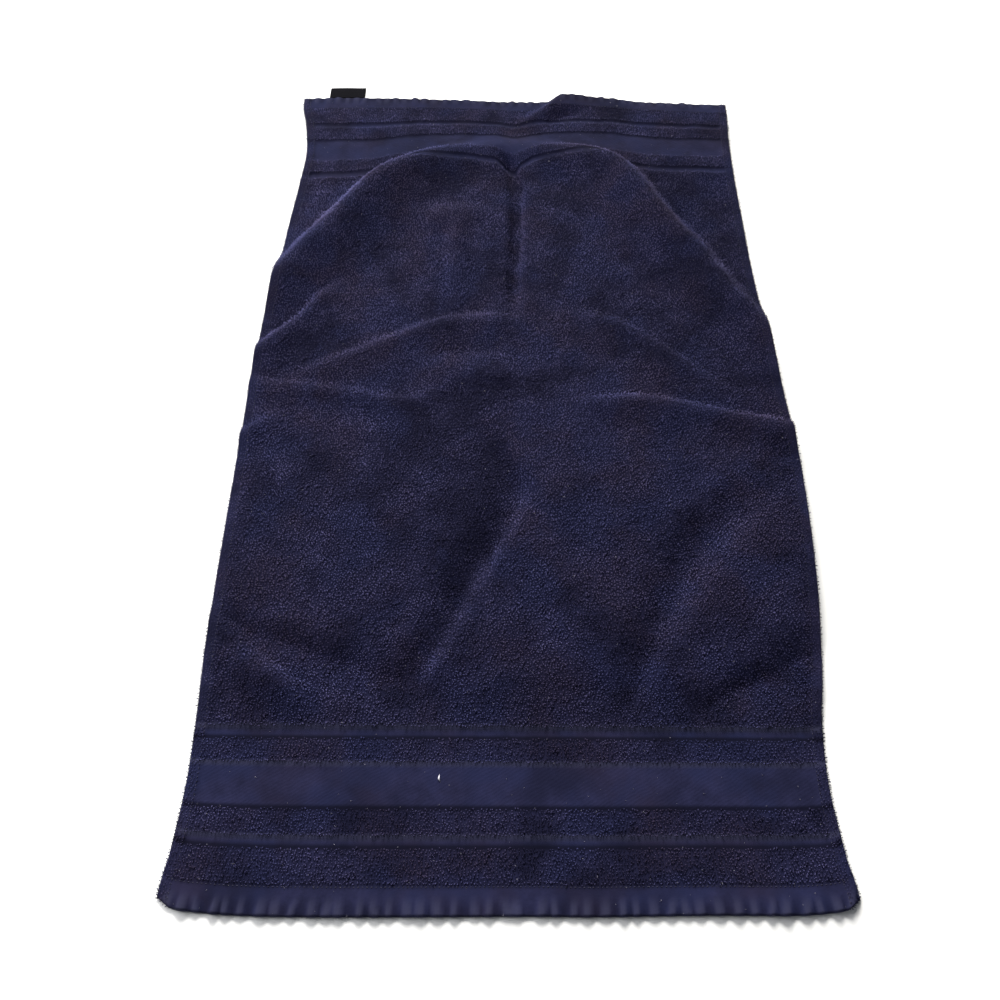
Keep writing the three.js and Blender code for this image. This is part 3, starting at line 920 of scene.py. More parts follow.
@dataclass(frozen=True)
class Bench:
    """Adds the nodes of one tree and joins them."""

    tree: Tree

    def add(self, kind: str, inputs: dict | None = None, **settings: object) -> bpy.types.Node:
        """Adds a node.

        Args:
            kind: Blender's name for the node.
            inputs: Values or other nodes' sockets, by the input's name or number.
            settings: The node's own settings.

        Returns:
            The new node.
        """
        node = self.tree.nodes.new(kind)
        for name, value in settings.items():
            setattr(node, name, value)
        for key, value in (inputs or {}).items():
            if isinstance(value, bpy.types.NodeSocket):
                self.tree.links.new(value, node.inputs[key])
            else:
                node.inputs[key].default_value = value
        return node

    def math(self, operation: str, a: object, b: object = 0.0, c: object = 0.0) -> object:
        """Returns the result of one sum on up to three values or sockets."""
        return self.add("ShaderNodeMath", {0: a, 1: b, 2: c}, operation=operation).outputs[0]

    def mix(self, share: object, start: object, end: object) -> object:
        """Returns a colour between two others, each a value or a socket."""
        node = self.add("ShaderNodeMix", {0: share, 6: start, 7: end}, data_type="RGBA")
        return node.outputs[2]

    def stored(self, name: str, output: str = "Fac") -> object:
        """Returns what a piece's mesh keeps under a name."""
        return self.add("ShaderNodeAttribute", attribute_name=name).outputs[output]

    def place(self) -> object:
        """Returns the place on the piece."""
        return self.add("ShaderNodeTexCoord").outputs["Object"]

    def axes(self, place: object) -> list[object]:
        """Returns a place's X, Y and Z."""
        return list(self.add("ShaderNodeSeparateXYZ", {"Vector": place}).outputs)

    def noise(self, scale: object, detail: float) -> object:
        """Returns uneven values over the piece, finer with a larger scale."""
        inputs = {"Vector": self.place(), "Scale": scale, "Detail": detail}
        return self.add("ShaderNodeTexNoise", inputs).outputs["Fac"]

    def group(self, tree: Tree, inputs: dict | None = None) -> object:
        """Returns what a shared group makes of its inputs."""
        return self.add("ShaderNodeGroup", inputs, node_tree=tree).outputs[0]

    def bump(self, strength: float, distance: float, height: object, **more: object) -> object:
        """Returns the surface's normal, tipped by a height."""
        inputs = {"Strength": strength, "Distance": distance, "Height": height, **more}
        return self.add("ShaderNodeBump", inputs).outputs["Normal"]


def new_group(name: str, kind: str, inputs: dict, output: str, made: str) -> tuple[Bench, object]:
    """Starts a node group with named sockets.

    Args:
        name: Name of the group.
        kind: Blender's name for the kind of tree.
        inputs: Type of each input socket by its name, or a pair of type and starting value.
        output: Name of the output socket.
        made: Type of the output socket.

    Returns:
        The bench of the tree, and the sockets that it is given.
    """
    tree = bpy.data.node_groups.new(name, kind)
    for label, wanted in inputs.items():
        socket_type, start = wanted if isinstance(wanted, tuple) else (wanted, None)
        socket = tree.interface.new_socket(name=label, in_out="INPUT", socket_type=socket_type)
        if start is not None:
            socket.default_value = start
    tree.interface.new_socket(name=output, in_out="OUTPUT", socket_type=made)
    bench = Bench(tree)
    return bench, bench.add("NodeGroupInput").outputs


class SharedShading:
    """Shader groups that several finishes use, each built once."""

    def __init__(self) -> None:
        """Builds every group."""
        self.dye = self.build_dye()
        self.twill = self.build_twill()
        self.fuzz = self.build_fuzz()

    def build_dye(self) -> Tree:
        """Builds the group for uneven dye: broad patches, and a lighter and darker thread."""
        sockets = {"Dark": COLOUR, "Light": COLOUR, "Warm": COLOUR, "Cool": COLOUR, "Tone": FLOAT}
        bench, given = new_group("uneven_dye", "ShaderNodeTree", sockets, "Colour", COLOUR)
        level = given["Tone"]
        # Scale and strength of the unevenness, from broad to fine
        for scale, gain in ((30.0, 1.5), (110.0, 0.9), (420.0, 0.5)):
            patch = bench.math("MULTIPLY_ADD", bench.noise(scale, 3.0), gain, -gain / 2)
            level = bench.math("ADD", level, patch)
        shade = bench.mix(level, given["Dark"], given["Light"])
        # Scale of each tint's patches, where in the noise they start and are full, and their most
        for scale, low, high, most, tint in (
            (15.0, 0.52, 0.38, 0.85, "Dark"),
            (13.0, 0.48, 0.62, 0.6, "Warm"),
            (19.0, 0.50, 0.62, 0.6, "Cool"),
        ):
            noise = bench.noise(scale, 4.0)
            limits = {"Value": noise, "From Min": low, "From Max": high, "To Max": most}
            share = bench.add("ShaderNodeMapRange", limits).outputs["Result"]
            shade = bench.mix(share, shade, given[tint])
        bench.add("NodeGroupOutput", {"Colour": shade})
        return bench.tree

    def build_twill(self) -> Tree:
        """Builds the group for slanted lines of a flat weave, as a height."""
        sockets = {"Pitch": (FLOAT, 0.003), "Slant": (FLOAT, 0.6), "Waver": (FLOAT, 1.5)}
        bench, given = new_group("slanted_weave", "ShaderNodeTree", sockets, "Height", FLOAT)
        across, along, _ = bench.axes(bench.place())
        slope = bench.math("MULTIPLY", across, given["Slant"])
        turns = bench.math("DIVIDE", bench.math("SUBTRACT", along, slope), given["Pitch"])
        bent = bench.math("MULTIPLY_ADD", bench.noise(90.0, 2.0), given["Waver"], turns)
        wave = bench.math("SINE", bench.math("MULTIPLY", bent, 2 * np.pi))
        height = bench.math("MULTIPLY_ADD", bench.noise(900.0, 2.0), 0.8, wave)
        bench.add("NodeGroupOutput", {"Height": height})
        return bench.tree

    def build_fuzz(self) -> Tree:
        """Builds the group for matted fibre: a rough height at two scales."""
        sockets = {"Coarse": (FLOAT, 350.0), "Fine": (FLOAT, 1400.0)}
        bench, given = new_group("matted_fibre", "ShaderNodeTree", sockets, "Height", FLOAT)
        coarse, fine = (bench.noise(given[label], 3.0) for label in sockets)
        bench.add("NodeGroupOutput", {"Height": bench.math("MULTIPLY_ADD", fine, 0.5, coarse)})
        return bench.tree


def rgba(colour: Colour) -> tuple[float, float, float, float]:
    """Returns a colour with full cover."""
    return (*colour, 1.0)


@dataclass(frozen=True)
class Finish:
    """A surface's look, as what its Principled shader is given."""

    name: str

    def inputs(self, bench: Bench, shared: SharedShading) -> dict:
        """Builds the nodes of the finish, for each kind its own.

        Args:
            bench: Bench of the material's tree.
            shared: The shader groups.

        Returns:
            The shader's inputs by name.
        """
        raise NotImplementedError

    def material(self, shared: SharedShading) -> Material:
        """Makes the material.

        Args:
            shared: The shader groups.

        Returns:
            The finish as a material.
        """
        material = bpy.data.materials.new(self.name)
        material.use_nodes = True
        material.node_tree.nodes.clear()
        bench = Bench(material.node_tree)
        shader = bench.add("ShaderNodeBsdfPrincipled", self.inputs(bench, shared))
        bench.add("ShaderNodeOutputMaterial", {"Surface": shader.outputs["BSDF"]})
        return material


@dataclass(frozen=True)
class DyedFinish(Finish):
    """Cloth in four tints of one dye, in uneven patches."""

    dark: Colour
    light: Colour
    warm: Colour
    cool: Colour

    def dye(self, bench: Bench, shared: SharedShading, tone: object) -> object:
        """Returns the dye's colour over the piece."""
        tints = {"Dark": self.dark, "Light": self.light, "Warm": self.warm, "Cool": self.cool}
        colours = {label: rgba(tint) for label, tint in tints.items()}
        return bench.group(shared.dye, {**colours, "Tone": tone})


@dataclass(frozen=True)
class LoopFinish(DyedFinish):
    """Terry loops: soft dyed cotton that catches light at a grazing angle, with painted shade at
    their feet and a painted highlight where a pile band ends towards the viewer.
    """

    name: str = "navy_loops"
    dark: Colour = (0.012, 0.011, 0.029)
    light: Colour = (0.080, 0.075, 0.176)
    warm: Colour = (0.051, 0.038, 0.072)
    cool: Colour = (0.040, 0.046, 0.130)
    # Painted highlight on the loops' tips where a pile band ends towards the viewer
    rim_colour: Colour = (0.150, 0.145, 0.330)
    rim_share: float = 0.24
    tone_gain: float = 0.4
    # Painted shade at the loops' feet, lighter towards their tips
    tip_highlight_gain: float = 0.15
    base_level: float = 0.15
    softness: float = 0.88
    roughness: float = 0.85
    sheen: float = 0.35
    sheen_roughness: float = 0.3
    sheen_tint: Colour = (0.36, 0.35, 0.62)
    gloss: float = 0.03

    def inputs(self, bench: Bench, shared: SharedShading) -> dict:
        """Builds the nodes of the finish.

        Args:
            bench: Bench of the material's tree.
            shared: The shader groups.

        Returns:
            The shader's inputs by name.
        """
        # Painted shade at the loops' feet that lightens to their tips, and a painted highlight on the
        # tips where a band ends towards the viewer
        tip = bench.stored("tip")
        lit = bench.math("MULTIPLY_ADD", tip, self.tip_highlight_gain, self.base_level)
        lit = bench.math("MULTIPLY_ADD", bench.stored("tone"), self.tone_gain, lit)
        bright = bench.math("MULTIPLY", bench.stored("rim"), tip)
        bright = bench.math("MULTIPLY", bright, self.rim_share)
        own = bench.add("ShaderNodeNewGeometry").outputs["Normal"]
        turned = {"Factor": self.softness, "A": own, "B": bench.stored("facing", "Vector")}
        soft = bench.add("ShaderNodeMix", turned, data_type="VECTOR").outputs["Result"]
        return {
            "Base Color": bench.mix(bright, self.dye(bench, shared, lit), rgba(self.rim_colour)),
            "Normal": bench.bump(0.5, 0.0004, bench.group(shared.fuzz), Normal=soft),
            "Roughness": self.roughness,
            "Sheen Weight": self.sheen,
            "Sheen Roughness": self.sheen_roughness,
            "Sheen Tint": rgba(self.sheen_tint),
            "Specular IOR Level": self.gloss,
        }


@dataclass(frozen=True)
class GroundFinish(DyedFinish):
    """The woven ground: painted shade under the loops, plain on the border, the grooves and the hems,
    with painted shade in crevices and painted highlight on the hem's gathers and edges.
    """

    name: str = "navy_ground"
    dark: Colour = (0.013, 0.0137, 0.038)
    light: Colour = (0.028, 0.029, 0.080)
    warm: Colour = (0.025, 0.021, 0.050)
    cool: Colour = (0.019, 0.023, 0.070)
    tone: float = 0.5
    # Painted shade on the ground between the loops
    shade_under_loops: Colour = (0.012, 0.011, 0.034)
    shading_by_loops: float = 0.3
    # Painted highlight on the hem's gathers, at the folds' edges and under the ends of loops
    painted_highlight_colour: Colour = (0.055, 0.056, 0.104)
    painted_highlight_share: float = 0.55
    # Painted shade in crevices and between the hem's gathers
    painted_shade_colour: Colour = (0.002, 0.002, 0.007)
    painted_shade_share: float = 0.75
    weave_height: float = 0.16
    roughness: float = 0.95
    gloss: float = 0.04

    def inputs(self, bench: Bench, shared: SharedShading) -> dict:
        """Builds the nodes of the finish.

        Args:
            bench: Bench of the material's tree.
            shared: The shader groups.

        Returns:
            The shader's inputs by name.
        """
        shade = self.dye(bench, shared, self.tone)
        # Painted shade between the loops, then painted highlight, then painted shade in crevices
        for stored, most, colour in (
            ("looped", self.shading_by_loops, self.shade_under_loops),
            ("ridge", self.painted_highlight_share, self.painted_highlight_colour),
            ("crease", self.painted_shade_share, self.painted_shade_colour),
        ):
            share = bench.math("MULTIPLY", bench.stored(stored), most)
            shade = bench.mix(share, shade, rgba(colour))
        slanted = bench.math("MULTIPLY", bench.group(shared.twill), bench.stored("border"))
        height = bench.math("MULTIPLY_ADD", slanted, self.weave_height, bench.group(shared.fuzz))
        return {
            "Base Color": shade,
            "Normal": bench.bump(0.5, 0.0005, height),
            "Diffuse Roughness": 1.0,
            "Roughness": self.roughness,
            "Specular IOR Level": self.gloss,
        }


@dataclass(frozen=True)
class ThreadFinish(Finish):
    """Plain thread or fibre of one dye, a little uneven along its length."""

    dark: Colour
    light: Colour
    roughness: float = 0.8

    def inputs(self, bench: Bench, shared: SharedShading) -> dict:
        """Builds the nodes of the finish.

        Args:
            bench: Bench of the material's tree.
            shared: The shader groups.

        Returns:
            The shader's inputs by name.
        """
        return {
            "Base Color": bench.mix(bench.noise(260.0, 2.0), rgba(self.dark), rgba(self.light)),
            "Normal": bench.bump(0.4, 0.0002, bench.group(shared.fuzz)),
            "Roughness": self.roughness,
        }


@dataclass(frozen=True)
class TapeFinish(Finish):
    """Black woven tape: fine close ribs with no gloss."""

    name: str = "black_tape"
    dark: Colour = (0.004, 0.004, 0.005)
    light: Colour = (0.012, 0.0115, 0.014)
    rib_pitch: float = 0.0007
    roughness: float = 0.8

    def inputs(self, bench: Bench, shared: SharedShading) -> dict:
        """Builds the nodes of the finish.

        Args:
            bench: Bench of the material's tree.
            shared: The shader groups; not used.

        Returns:
            The shader's inputs by name.
        """
        turn = 2 * np.pi / self.rib_pitch
        across, along, _ = bench.axes(bench.place())
        waves = [bench.math("SINE", bench.math("MULTIPLY", v, turn)) for v in (across, along)]
        weave = bench.math("MULTIPLY", *waves)
        share = bench.math("MULTIPLY_ADD", weave, 0.3, 0.4)
        return {
            "Base Color": bench.mix(share, rgba(self.dark), rgba(self.light)),
            "Normal": bench.bump(0.35, 0.0002, weave),
            "Roughness": self.roughness,
            "Specular IOR Level": 0.0,
        }


@dataclass(frozen=True)
class FloorFinish(Finish):
    """A plain pale studio floor."""

    name: str = "pale_floor"
    colour: Colour = (0.86, 0.86, 0.86)
    roughness: float = 0.9

    def inputs(self, bench: Bench, shared: SharedShading) -> dict:
        """Builds the nodes of the finish.

        Args:
            bench: Bench of the material's tree; not used.
            shared: The shader groups; not used.

        Returns:
            The shader's inputs by name.
        """
        return {"Base Color": rgba(self.colour), "Roughness": self.roughness}


# What Geometry Nodes repeat


@dataclass(frozen=True)
class Spindle:
    """A short bent thread of eight faces: two feet, and a ring of four points between them."""

    length: float
    width: float
    height: float
    bend: float = 0.0
    sink: float = 0.5

    def build(self, name: str) -> Piece:
        """Builds the spindle.

        Args:
            name: Name of its object.

        Returns:
            The spindle as an object.
        """
        half, thick = self.length / 2, self.width / 2
        points = [
            (-half, -self.bend, -self.sink),
            (half, -self.bend, -self.sink),
            (0.0, self.bend - thick, self.height),
            (0.1 * half, self.bend, self.height - thick),
            (0.0, self.bend + thick, self.height),
            (-0.1 * half, self.bend, self.height + thick),
        ]
        pairs = [(2, 3), (3, 4), (4, 5), (5, 2)]
        faces = [(0, b, a) for a, b in pairs] + [(1, a, b) for a, b in pairs]
        piece = make_mesh(name, np.array(points) * MM, faces)
        # How far up the thread each point lies; the loops' finish paints their feet darker with it
        store(piece, "tip", np.array([0.0, 0.0, 0.7, 0.3, 0.7, 1.0]))
        return piece


class Setter:
    """Geometry Nodes that set small shapes out, each turned and sized at random."""

    def __init__(self, name: str, sockets: dict) -> None:
        """Starts the tree, with the inputs that every tree of this kind has.

        Args:
            name: Name of the tree.
            sockets: Its further inputs, as for a new group.
        """
        sockets = {
            "Source": GEOMETRY,
            "Shapes": COLLECTION,
            **sockets,
            "Seed": (INTEGER, SEED),
            "Finish": MATERIAL,
        }
        group = new_group(name, "GeometryNodeTree", sockets, "Pieces", GEOMETRY)
        self.bench, self.given = group

    def random(self, kind: str, low: object, high: object, step: int) -> object:
        """Adds one random value for each shape.

        Args:
            kind: Blender's name for the type of value.
            low: Least value or its socket.
            high: Greatest value or its socket.
            step: Added to the seed, so that no two values go together.

        Returns:
            The socket of the value.
        """
        first, made = {"FLOAT_VECTOR": (0, 0), "FLOAT": (2, 1)}[kind]
        seed = self.bench.math("ADD", self.given["Seed"], float(step))
        inputs = {first: low, first + 1: high, "Seed": seed}
        return self.bench.add("FunctionNodeRandomValue", inputs, data_type=kind).outputs[made]

    def place(self, points: object, rotation: object, turn: object, scale: object) -> object:
        """Sets one of the shapes on each point.

        Args:
            points: Socket of the points.
            rotation: Socket of how each lies.
            turn: Socket of its further turn, in its own space.
            scale: Socket of its size.

        Returns:
            The socket of the shapes.
        """
        turned = {"Rotation": rotation, "Rotate By": turn}
        turned = self.bench.add("FunctionNodeRotateRotation", turned, rotation_space="LOCAL")
        shapes = {"Collection": self.given["Shapes"], "Separate Children": True}
        shapes = self.bench.add("GeometryNodeCollectionInfo", shapes)
        inputs = {
            "Points": points,
            "Instance": shapes.outputs["Instances"],
            "Pick Instance": True,
            "Rotation": turned.outputs["Rotation"],
            "Scale": scale,
        }
        return self.bench.add("GeometryNodeInstanceOnPoints", inputs).outputs["Instances"]

    def keep(self, source: object, domain: str, name: str, value: object, **more: str) -> object:
        """Stores a value on a geometry.

        Args:
            source: Socket of the geometry.
            domain: What each value belongs to.
            name: Name of the value.
            value: Socket of the value.
            more: Further settings of the node.

        Returns:
            The socket of the geometry with the value.
        """
        inputs = {"Geometry": source, "Name": name, "Value": value}
        settings = {"domain": domain, **more}
        node = self.bench.add("GeometryNodeStoreNamedAttribute", inputs, **settings)
        return node.outputs["Geometry"]

    def end(self, shapes: object) -> None:
        """Makes the shapes real, gives them their finish and ends the tree.

        Args:
            shapes: Socket of the shapes.
        """
        real = self.bench.add("GeometryNodeRealizeInstances", {"Geometry": shapes})
        ending = {"Geometry": real.outputs["Geometry"], "Material": self.given["Finish"]}
        finished = self.bench.add("GeometryNodeSetMaterial", ending)
        self.bench.add("NodeGroupOutput", {"Pieces": finished.outputs["Geometry"]})

    def bake(self, name: str, source: Piece, kit: dict[str, Spindle], values: dict) -> Piece:
        """Runs the tree on an object and keeps the result as a plain mesh.

        Args:
            name: Name of the new piece.
            source: The object that the tree works on, which is removed afterwards.
            kit: The shapes to set out, by name, which are removed afterwards.
            values: Value of each other input by its name.

        Returns:
            The new piece, in the scene.
        """
        shapes = bpy.data.collections.new(name)
        hidden = [shape.build(label) for label, shape in kit.items()]
        for piece in hidden:
            bpy.context.scene.collection.objects.unlink(piece)
            shapes.objects.link(piece)
        modifier = source.modifiers.new(name, "NODES")
        modifier.node_group = self.bench.tree
        values = {**values, "Shapes": shapes}
        for item in self.bench.tree.interface.items_tree:
            if item.in_out == "INPUT" and item.name in values:
                modifier[item.identifier] = values[item.name]
        bpy.context.view_layer.update()
        evaluated = source.evaluated_get(bpy.context.evaluated_depsgraph_get())
        mesh = bpy.data.meshes.new_from_object(evaluated)
        source.modifiers.remove(modifier)
        for piece in (source, *hidden):
            bpy.data.objects.remove(piece)
        bpy.data.collections.remove(shapes)
        mesh.name = name
        smooth(mesh)
        return in_scene(name, mesh)


class Sower(Setter):
    """Scatters bent threads over a surface, lying every way on it."""

    def __init__(self) -> None:
        """Builds the tree."""
        sockets = {
            "Spacing": (FLOAT, 0.002),
            "Density": (FLOAT, 1000.0),
            "Lean": (FLOAT, 0.4),
            "Smallest": (FLOAT, 0.8),
            "Largest": (FLOAT, 1.2),
        }
        super().__init__("sown_threads", sockets)
        bench, given = self.bench, self.given
        wanted = {
            "Mesh": given["Source"],
            "Distance Min": given["Spacing"],
            "Density Max": given["Density"],
            "Seed": given["Seed"],
        }
        kind = "GeometryNodeDistributePointsOnFaces"
        spread = bench.add(kind, wanted, distribute_method="POISSON").outputs
        normal = {"name": "facing", "value": spread["Normal"], "data_type": "FLOAT_VECTOR"}
        points = self.keep(spread["Points"], "POINT", **normal)
        lean = bench.add("ShaderNodeCombineXYZ", {0: given["Lean"], 1: given["Lean"], 2: np.pi})
        back = {0: lean.outputs[0], 1: (-1.0, -1.0, -1.0)}
        back = bench.add("ShaderNodeVectorMath", back, operation="MULTIPLY")
        turn = self.random("FLOAT_VECTOR", back.outputs[0], lean.outputs[0], 1)
        size = bench.add("GeometryNodeInputNamedAttribute", {"Name": "loop_size"})
        scale = self.random("FLOAT", given["Smallest"], given["Largest"], 2)
        scale = bench.math("MULTIPLY", scale, size.outputs["Attribute"])
        threads = self.place(points, spread["Rotation"], turn, scale)
        self.end(self.keep(threads, "INSTANCE", "tone", self.random("FLOAT", 0.0, 1.0, 3)))


class Stitcher(Setter):
    """Sets stitches at an even pitch along a curve."""

    def __init__(self) -> None:
        """Builds the tree."""
        sockets = {"Pitch": (FLOAT, 0.003), "Turn": (FLOAT, 0.0), "Waver": (FLOAT, 0.2)}
        super().__init__("set_stitches", sockets)
        bench, given = self.bench, self.given
        even = {"Curve": given["Source"], "Length": given["Pitch"]}
        even = bench.add("GeometryNodeResampleCurve", even, mode="LENGTH")
        align = "FunctionNodeAlignRotationToVector"
        tangent = bench.add("GeometryNodeInputTangent").outputs["Tangent"]
        along = bench.add(align, {"Vector": tangent}, axis="X").outputs["Rotation"]
        upright = {"Rotation": along, "Vector": (0.0, 0.0, 1.0)}
        upright = bench.add(align, upright, axis="Z", pivot_axis="X").outputs["Rotation"]
        limits = [bench.math(way, given["Turn"], given["Waver"]) for way in ("SUBTRACT", "ADD")]
        about = bench.add("ShaderNodeCombineXYZ", {"Z": self.random("FLOAT", *limits, 1)})
        scale = self.random("FLOAT", 0.8, 1.2, 2)
        self.end(self.place(even.outputs["Curve"], upright, about.outputs[0], scale))


# The towel's pieces


@dataclass
class ClothSheet:
    """The towel's cloth as one closed sheet, and its place in the frame."""

    towel: Towel
    grid: ClothGrid
    shift: Array
    under_stride: int = 3
    # How much the ground counts as covered by loops on the side hems and beneath
    least_cover: float = 0.6

    @classmethod
    def in_frame(cls, towel: Towel) -> "ClothSheet":
        """Lays out a towel and finds its place from its CAD node.

        Args:
            towel: The cloth to lay out.

        Returns:
            The sheet, with the step from plan to frame in millimetres.
        """
        grid = ClothGrid.of(towel)
        low, high = (np.array(corner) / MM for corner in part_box("towel_cloth"))
        return cls(towel, grid, (low + high)[:2] / 2 - grid.middle())

    def placed(self, x: Array, y: Array, z: Array) -> Array:
        """Returns points of the plan as places in the frame, in metres."""
        return np.stack([x + self.shift[0], y + self.shift[1], z], axis=-1) * MM

    def line(self, part: object) -> Array:
        """Returns the places along part of the top, such as one row, in metres."""
        return self.placed(self.grid.x[part], self.grid.y[part], self.grid.top[part])

    def build(self, material: Material) -> Piece:
        """Builds the cloth.

        Args:
            material: Finish of its ground.

        Returns:
            The closed sheet as an object.
        """
        grid = self.grid
        inset = len(self.towel.edge_steps) // 2 - 1
        kept = np.ix_(*(self.strided(count, inset) for count in grid.x.shape))
        skin = Skin()
        top = skin.add(self.line(...), turned=False)
        low = skin.add(self.placed(grid.x, grid.y, grid.under)[kept], turned=True)
        skin.join(top[0], low[0], turned=True)
        skin.join(low[-1], top[-1], turned=True)
        skin.join(top[:, 0], low[:, 0], turned=False)
        skin.join(low[:, -1], top[:, -1], turned=False)
        piece = make_mesh("cloth", np.array(skin.points), skin.faces)
        border = self.towel.bands.read(grid.hem_distance, {Weave.BORDER: 1.0})
        # The ground's masks, with its painted shade and painted highlight
        for name, above, beneath in (
            ("looped", self.loop_cover(), self.least_cover),
            ("border", border, 0.0),
            ("crease", grid.crease, 0.0),
            ("ridge", grid.ridge, 0.0),
        ):
            store(piece, name, np.concatenate([above.ravel(), np.full(low.size, beneath)]))
        piece.data.materials.append(material)
        return piece

    def strided(self, count: int, inset: int) -> list[int]:
        """Returns which rows or columns the underside keeps, inside the edge's rounding."""
        last = count - 1 - inset
        return [*range(inset, last, self.under_stride), last]

    def loop_cover(self) -> Array:
        """Returns where loops stand on the ground: 1 on the stripes and the field."""
        looped = self.towel.bands.read(self.grid.hem_distance, dict.fromkeys(LOOPED, 1.0))
        inside = self.towel.bands.inside(self.grid.side_distance)
        return looped * (self.least_cover + (1.0 - self.least_cover) * inside)

    def surface(self, name: str, sizes: Array, keep: Array) -> Piece:
        """Copies part of the top to sow threads on.

        Args:
            name: Name of the copy.
            sizes: Size of the threads at each point of the grid.
            keep: Which of the grid's quads to copy.

        Returns:
            An open mesh with the sizes and the painted highlight of the near band edges on it.
        """
        grid = self.grid
        number = np.arange(grid.x.size).reshape(grid.x.shape)
        used, faces = np.unique(quads(number)[keep], return_inverse=True)
        points = self.line(...).reshape(-1, 3)[used]
        piece = make_mesh(name, points, [tuple(q) for q in faces.reshape(-1, 4).tolist()])
        rim_highlights = self.towel.bands.rim_highlights(grid.hem_distance, grid.facing_near)
        store(piece, "loop_size", sizes.ravel()[used])
        store(piece, "rim", rim_highlights.ravel()[used])
        return piece


def line_object(name: str, points: Array) -> Piece:
    """Makes a curve for stitches to follow.

    Args:
        name: Name of the curve.
        points: Its points in metres.

    Returns:
        The curve's object, in the scene.
    """
    curve = bpy.data.curves.new(name, "CURVE")
    curve.dimensions = "3D"
    spline = curve.splines.new("POLY")
    spline.points.add(len(points) - 1)
    for spot, place in zip(spline.points, points):
        spot.co = (*place, 1.0)
    return in_scene(name, curve)


@dataclass(frozen=True)
class Scatter:
    """Small threads of a few shapes, scattered on the cloth."""

    spacing: float
    density: float
    smallest: float
    largest: float
    shapes: tuple[Spindle, ...]
    lean: float = 0.5

    def sow(self, surface: Piece, sower: Sower, material: Material, seed: int) -> Piece:
        """Sows the threads on a surface.

        Args:
            surface: The surface, which is removed afterwards.
            sower: The tree that sets them.
            material: Their finish.
            seed: Start of their random places.

        Returns:
            All of them as one piece with the surface's name.
        """
        name = surface.name
        values = {
            "Spacing": self.spacing * MM,
            "Density": self.density,
            "Lean": self.lean,
            "Smallest": self.smallest,
            "Largest": self.largest,
            "Seed": seed,
            "Finish": material,
        }
        kit = {f"{name}_{i}": shape for i, shape in enumerate(self.shapes)}
        return sower.bake(name, surface, kit, values)


@dataclass(frozen=True)
class Pile(Scatter):
    """The terry loops on the field, the stripes and, pressed flat, the side hems."""

    spacing: float = 1.75
    # Four for each square of the spacing, before the spacing thins them out
    density: float = 4.0 / (1.75 * MM) ** 2
    smallest: float = 0.75
    largest: float = 1.3
    field_parts: int = 4
    stripe_size: float = 0.92
    side_size: float = 0.7
    shapes: tuple[Spindle, ...] = (
        Spindle(2.5, 1.0, 1.5, 0.35, 0.6),
        Spindle(2.2, 1.1, 1.7, -0.45, 0.6),
        Spindle(2.9, 0.95, 1.25, 0.6, 0.5),
        Spindle(2.0, 1.1, 1.9, 0.1, 0.7),
    )

    def sizes(self, sheet: ClothSheet) -> Array:
        """Works out the size of the loops.

        Args:
            sheet: The cloth that they stand on.

        Returns:
            Their size at each point of the sheet's grid.
        """
        levels = {Weave.STRIPE: self.stripe_size, Weave.FIELD: 1.0}
        size = sheet.towel.bands.read(sheet.grid.hem_distance, levels)
        inside = sheet.towel.bands.inside(sheet.grid.side_distance)
        return self.side_size * (1.0 - inside) + size * inside

    def zones(self, sheet: ClothSheet, looped: Array) -> dict[str, Array]:
        """Shares out the quads that carry loops.

        Args:
            sheet: The cloth.
            looped: Which of its grid's quads carry loops.

        Returns:
            The quads of each piece of the pile, by the piece's name.
        """
        grid = sheet.grid
        middle = (grid.hem_distance[:-1] + grid.hem_distance[1:])[:, :-1] / 2
        in_field = middle > sheet.towel.bands.length()
        along = grid.y[:-1, :-1]
        low, high = along[in_field].min(), along[in_field].max()
        part = np.clip((along - low) / (high - low) * self.field_parts, 0, self.field_parts - 1)
        zones = {
            f"pile_field_{i + 1}": looped & in_field & (part.astype(int) == i)
            for i in range(self.field_parts)
        }
        zones["pile_stripes_near"] = looped & ~in_field & (along < 0)
        zones["pile_stripes_far"] = looped & ~in_field & (along > 0)
        return zones

    def build(self, sheet: ClothSheet, sower: Sower, material: Material) -> list[Piece]:
        """Builds the loops.

        Args:
            sheet: The cloth that they stand on.
            sower: The tree that sets them.
            material: Their finish.

        Returns:
            One piece for each part of the field and for the stripes of each end.
        """
        sizes = self.sizes(sheet)
        looped = quads(sizes).min(axis=-1) > self.side_size * 0.9
        pieces = []
        for i, (name, keep) in enumerate(self.zones(sheet, looped).items()):
            surface = sheet.surface(name, sizes, keep)
            pieces.append(self.sow(surface, sower, material, SEED + 10 * i))
        return pieces


@dataclass(frozen=True)
class Lint(Scatter):
    """Pale fibres caught in the pile, and a few of the cloth's own that stand out."""

    spacing: float = 9.0
    density: float = 3200.0
    smallest: float = 0.5
    largest: float = 1.3
    shapes: tuple[Spindle, ...] = (
        Spindle(1.5, 0.26, 0.3, 0.3, 0.0),
        Spindle(2.4, 0.2, 0.5, 0.6, 0.1),
        Spindle(0.8, 0.34, 0.2, 0.1, 0.0),
    )
    rise: float = 1.0

    def build(self, sheet: ClothSheet, sower: Sower, material: Material) -> Piece:
        """Builds the lint.

        Args:
            sheet: The cloth that it lies on.
            sower: The tree that scatters it.
            material: Its finish.

        Returns:
            All of it as one piece.
        """
        everywhere = np.ones(np.array(sheet.grid.x.shape) - 1, bool)
        surface = sheet.surface("lint", np.ones_like(sheet.grid.x), everywhere)
        for vertex, cover in zip(surface.data.vertices, sheet.loop_cover().ravel()):
            vertex.co.z += cover * self.rise * MM
        return self.sow(surface, sower, material, SEED + 3)


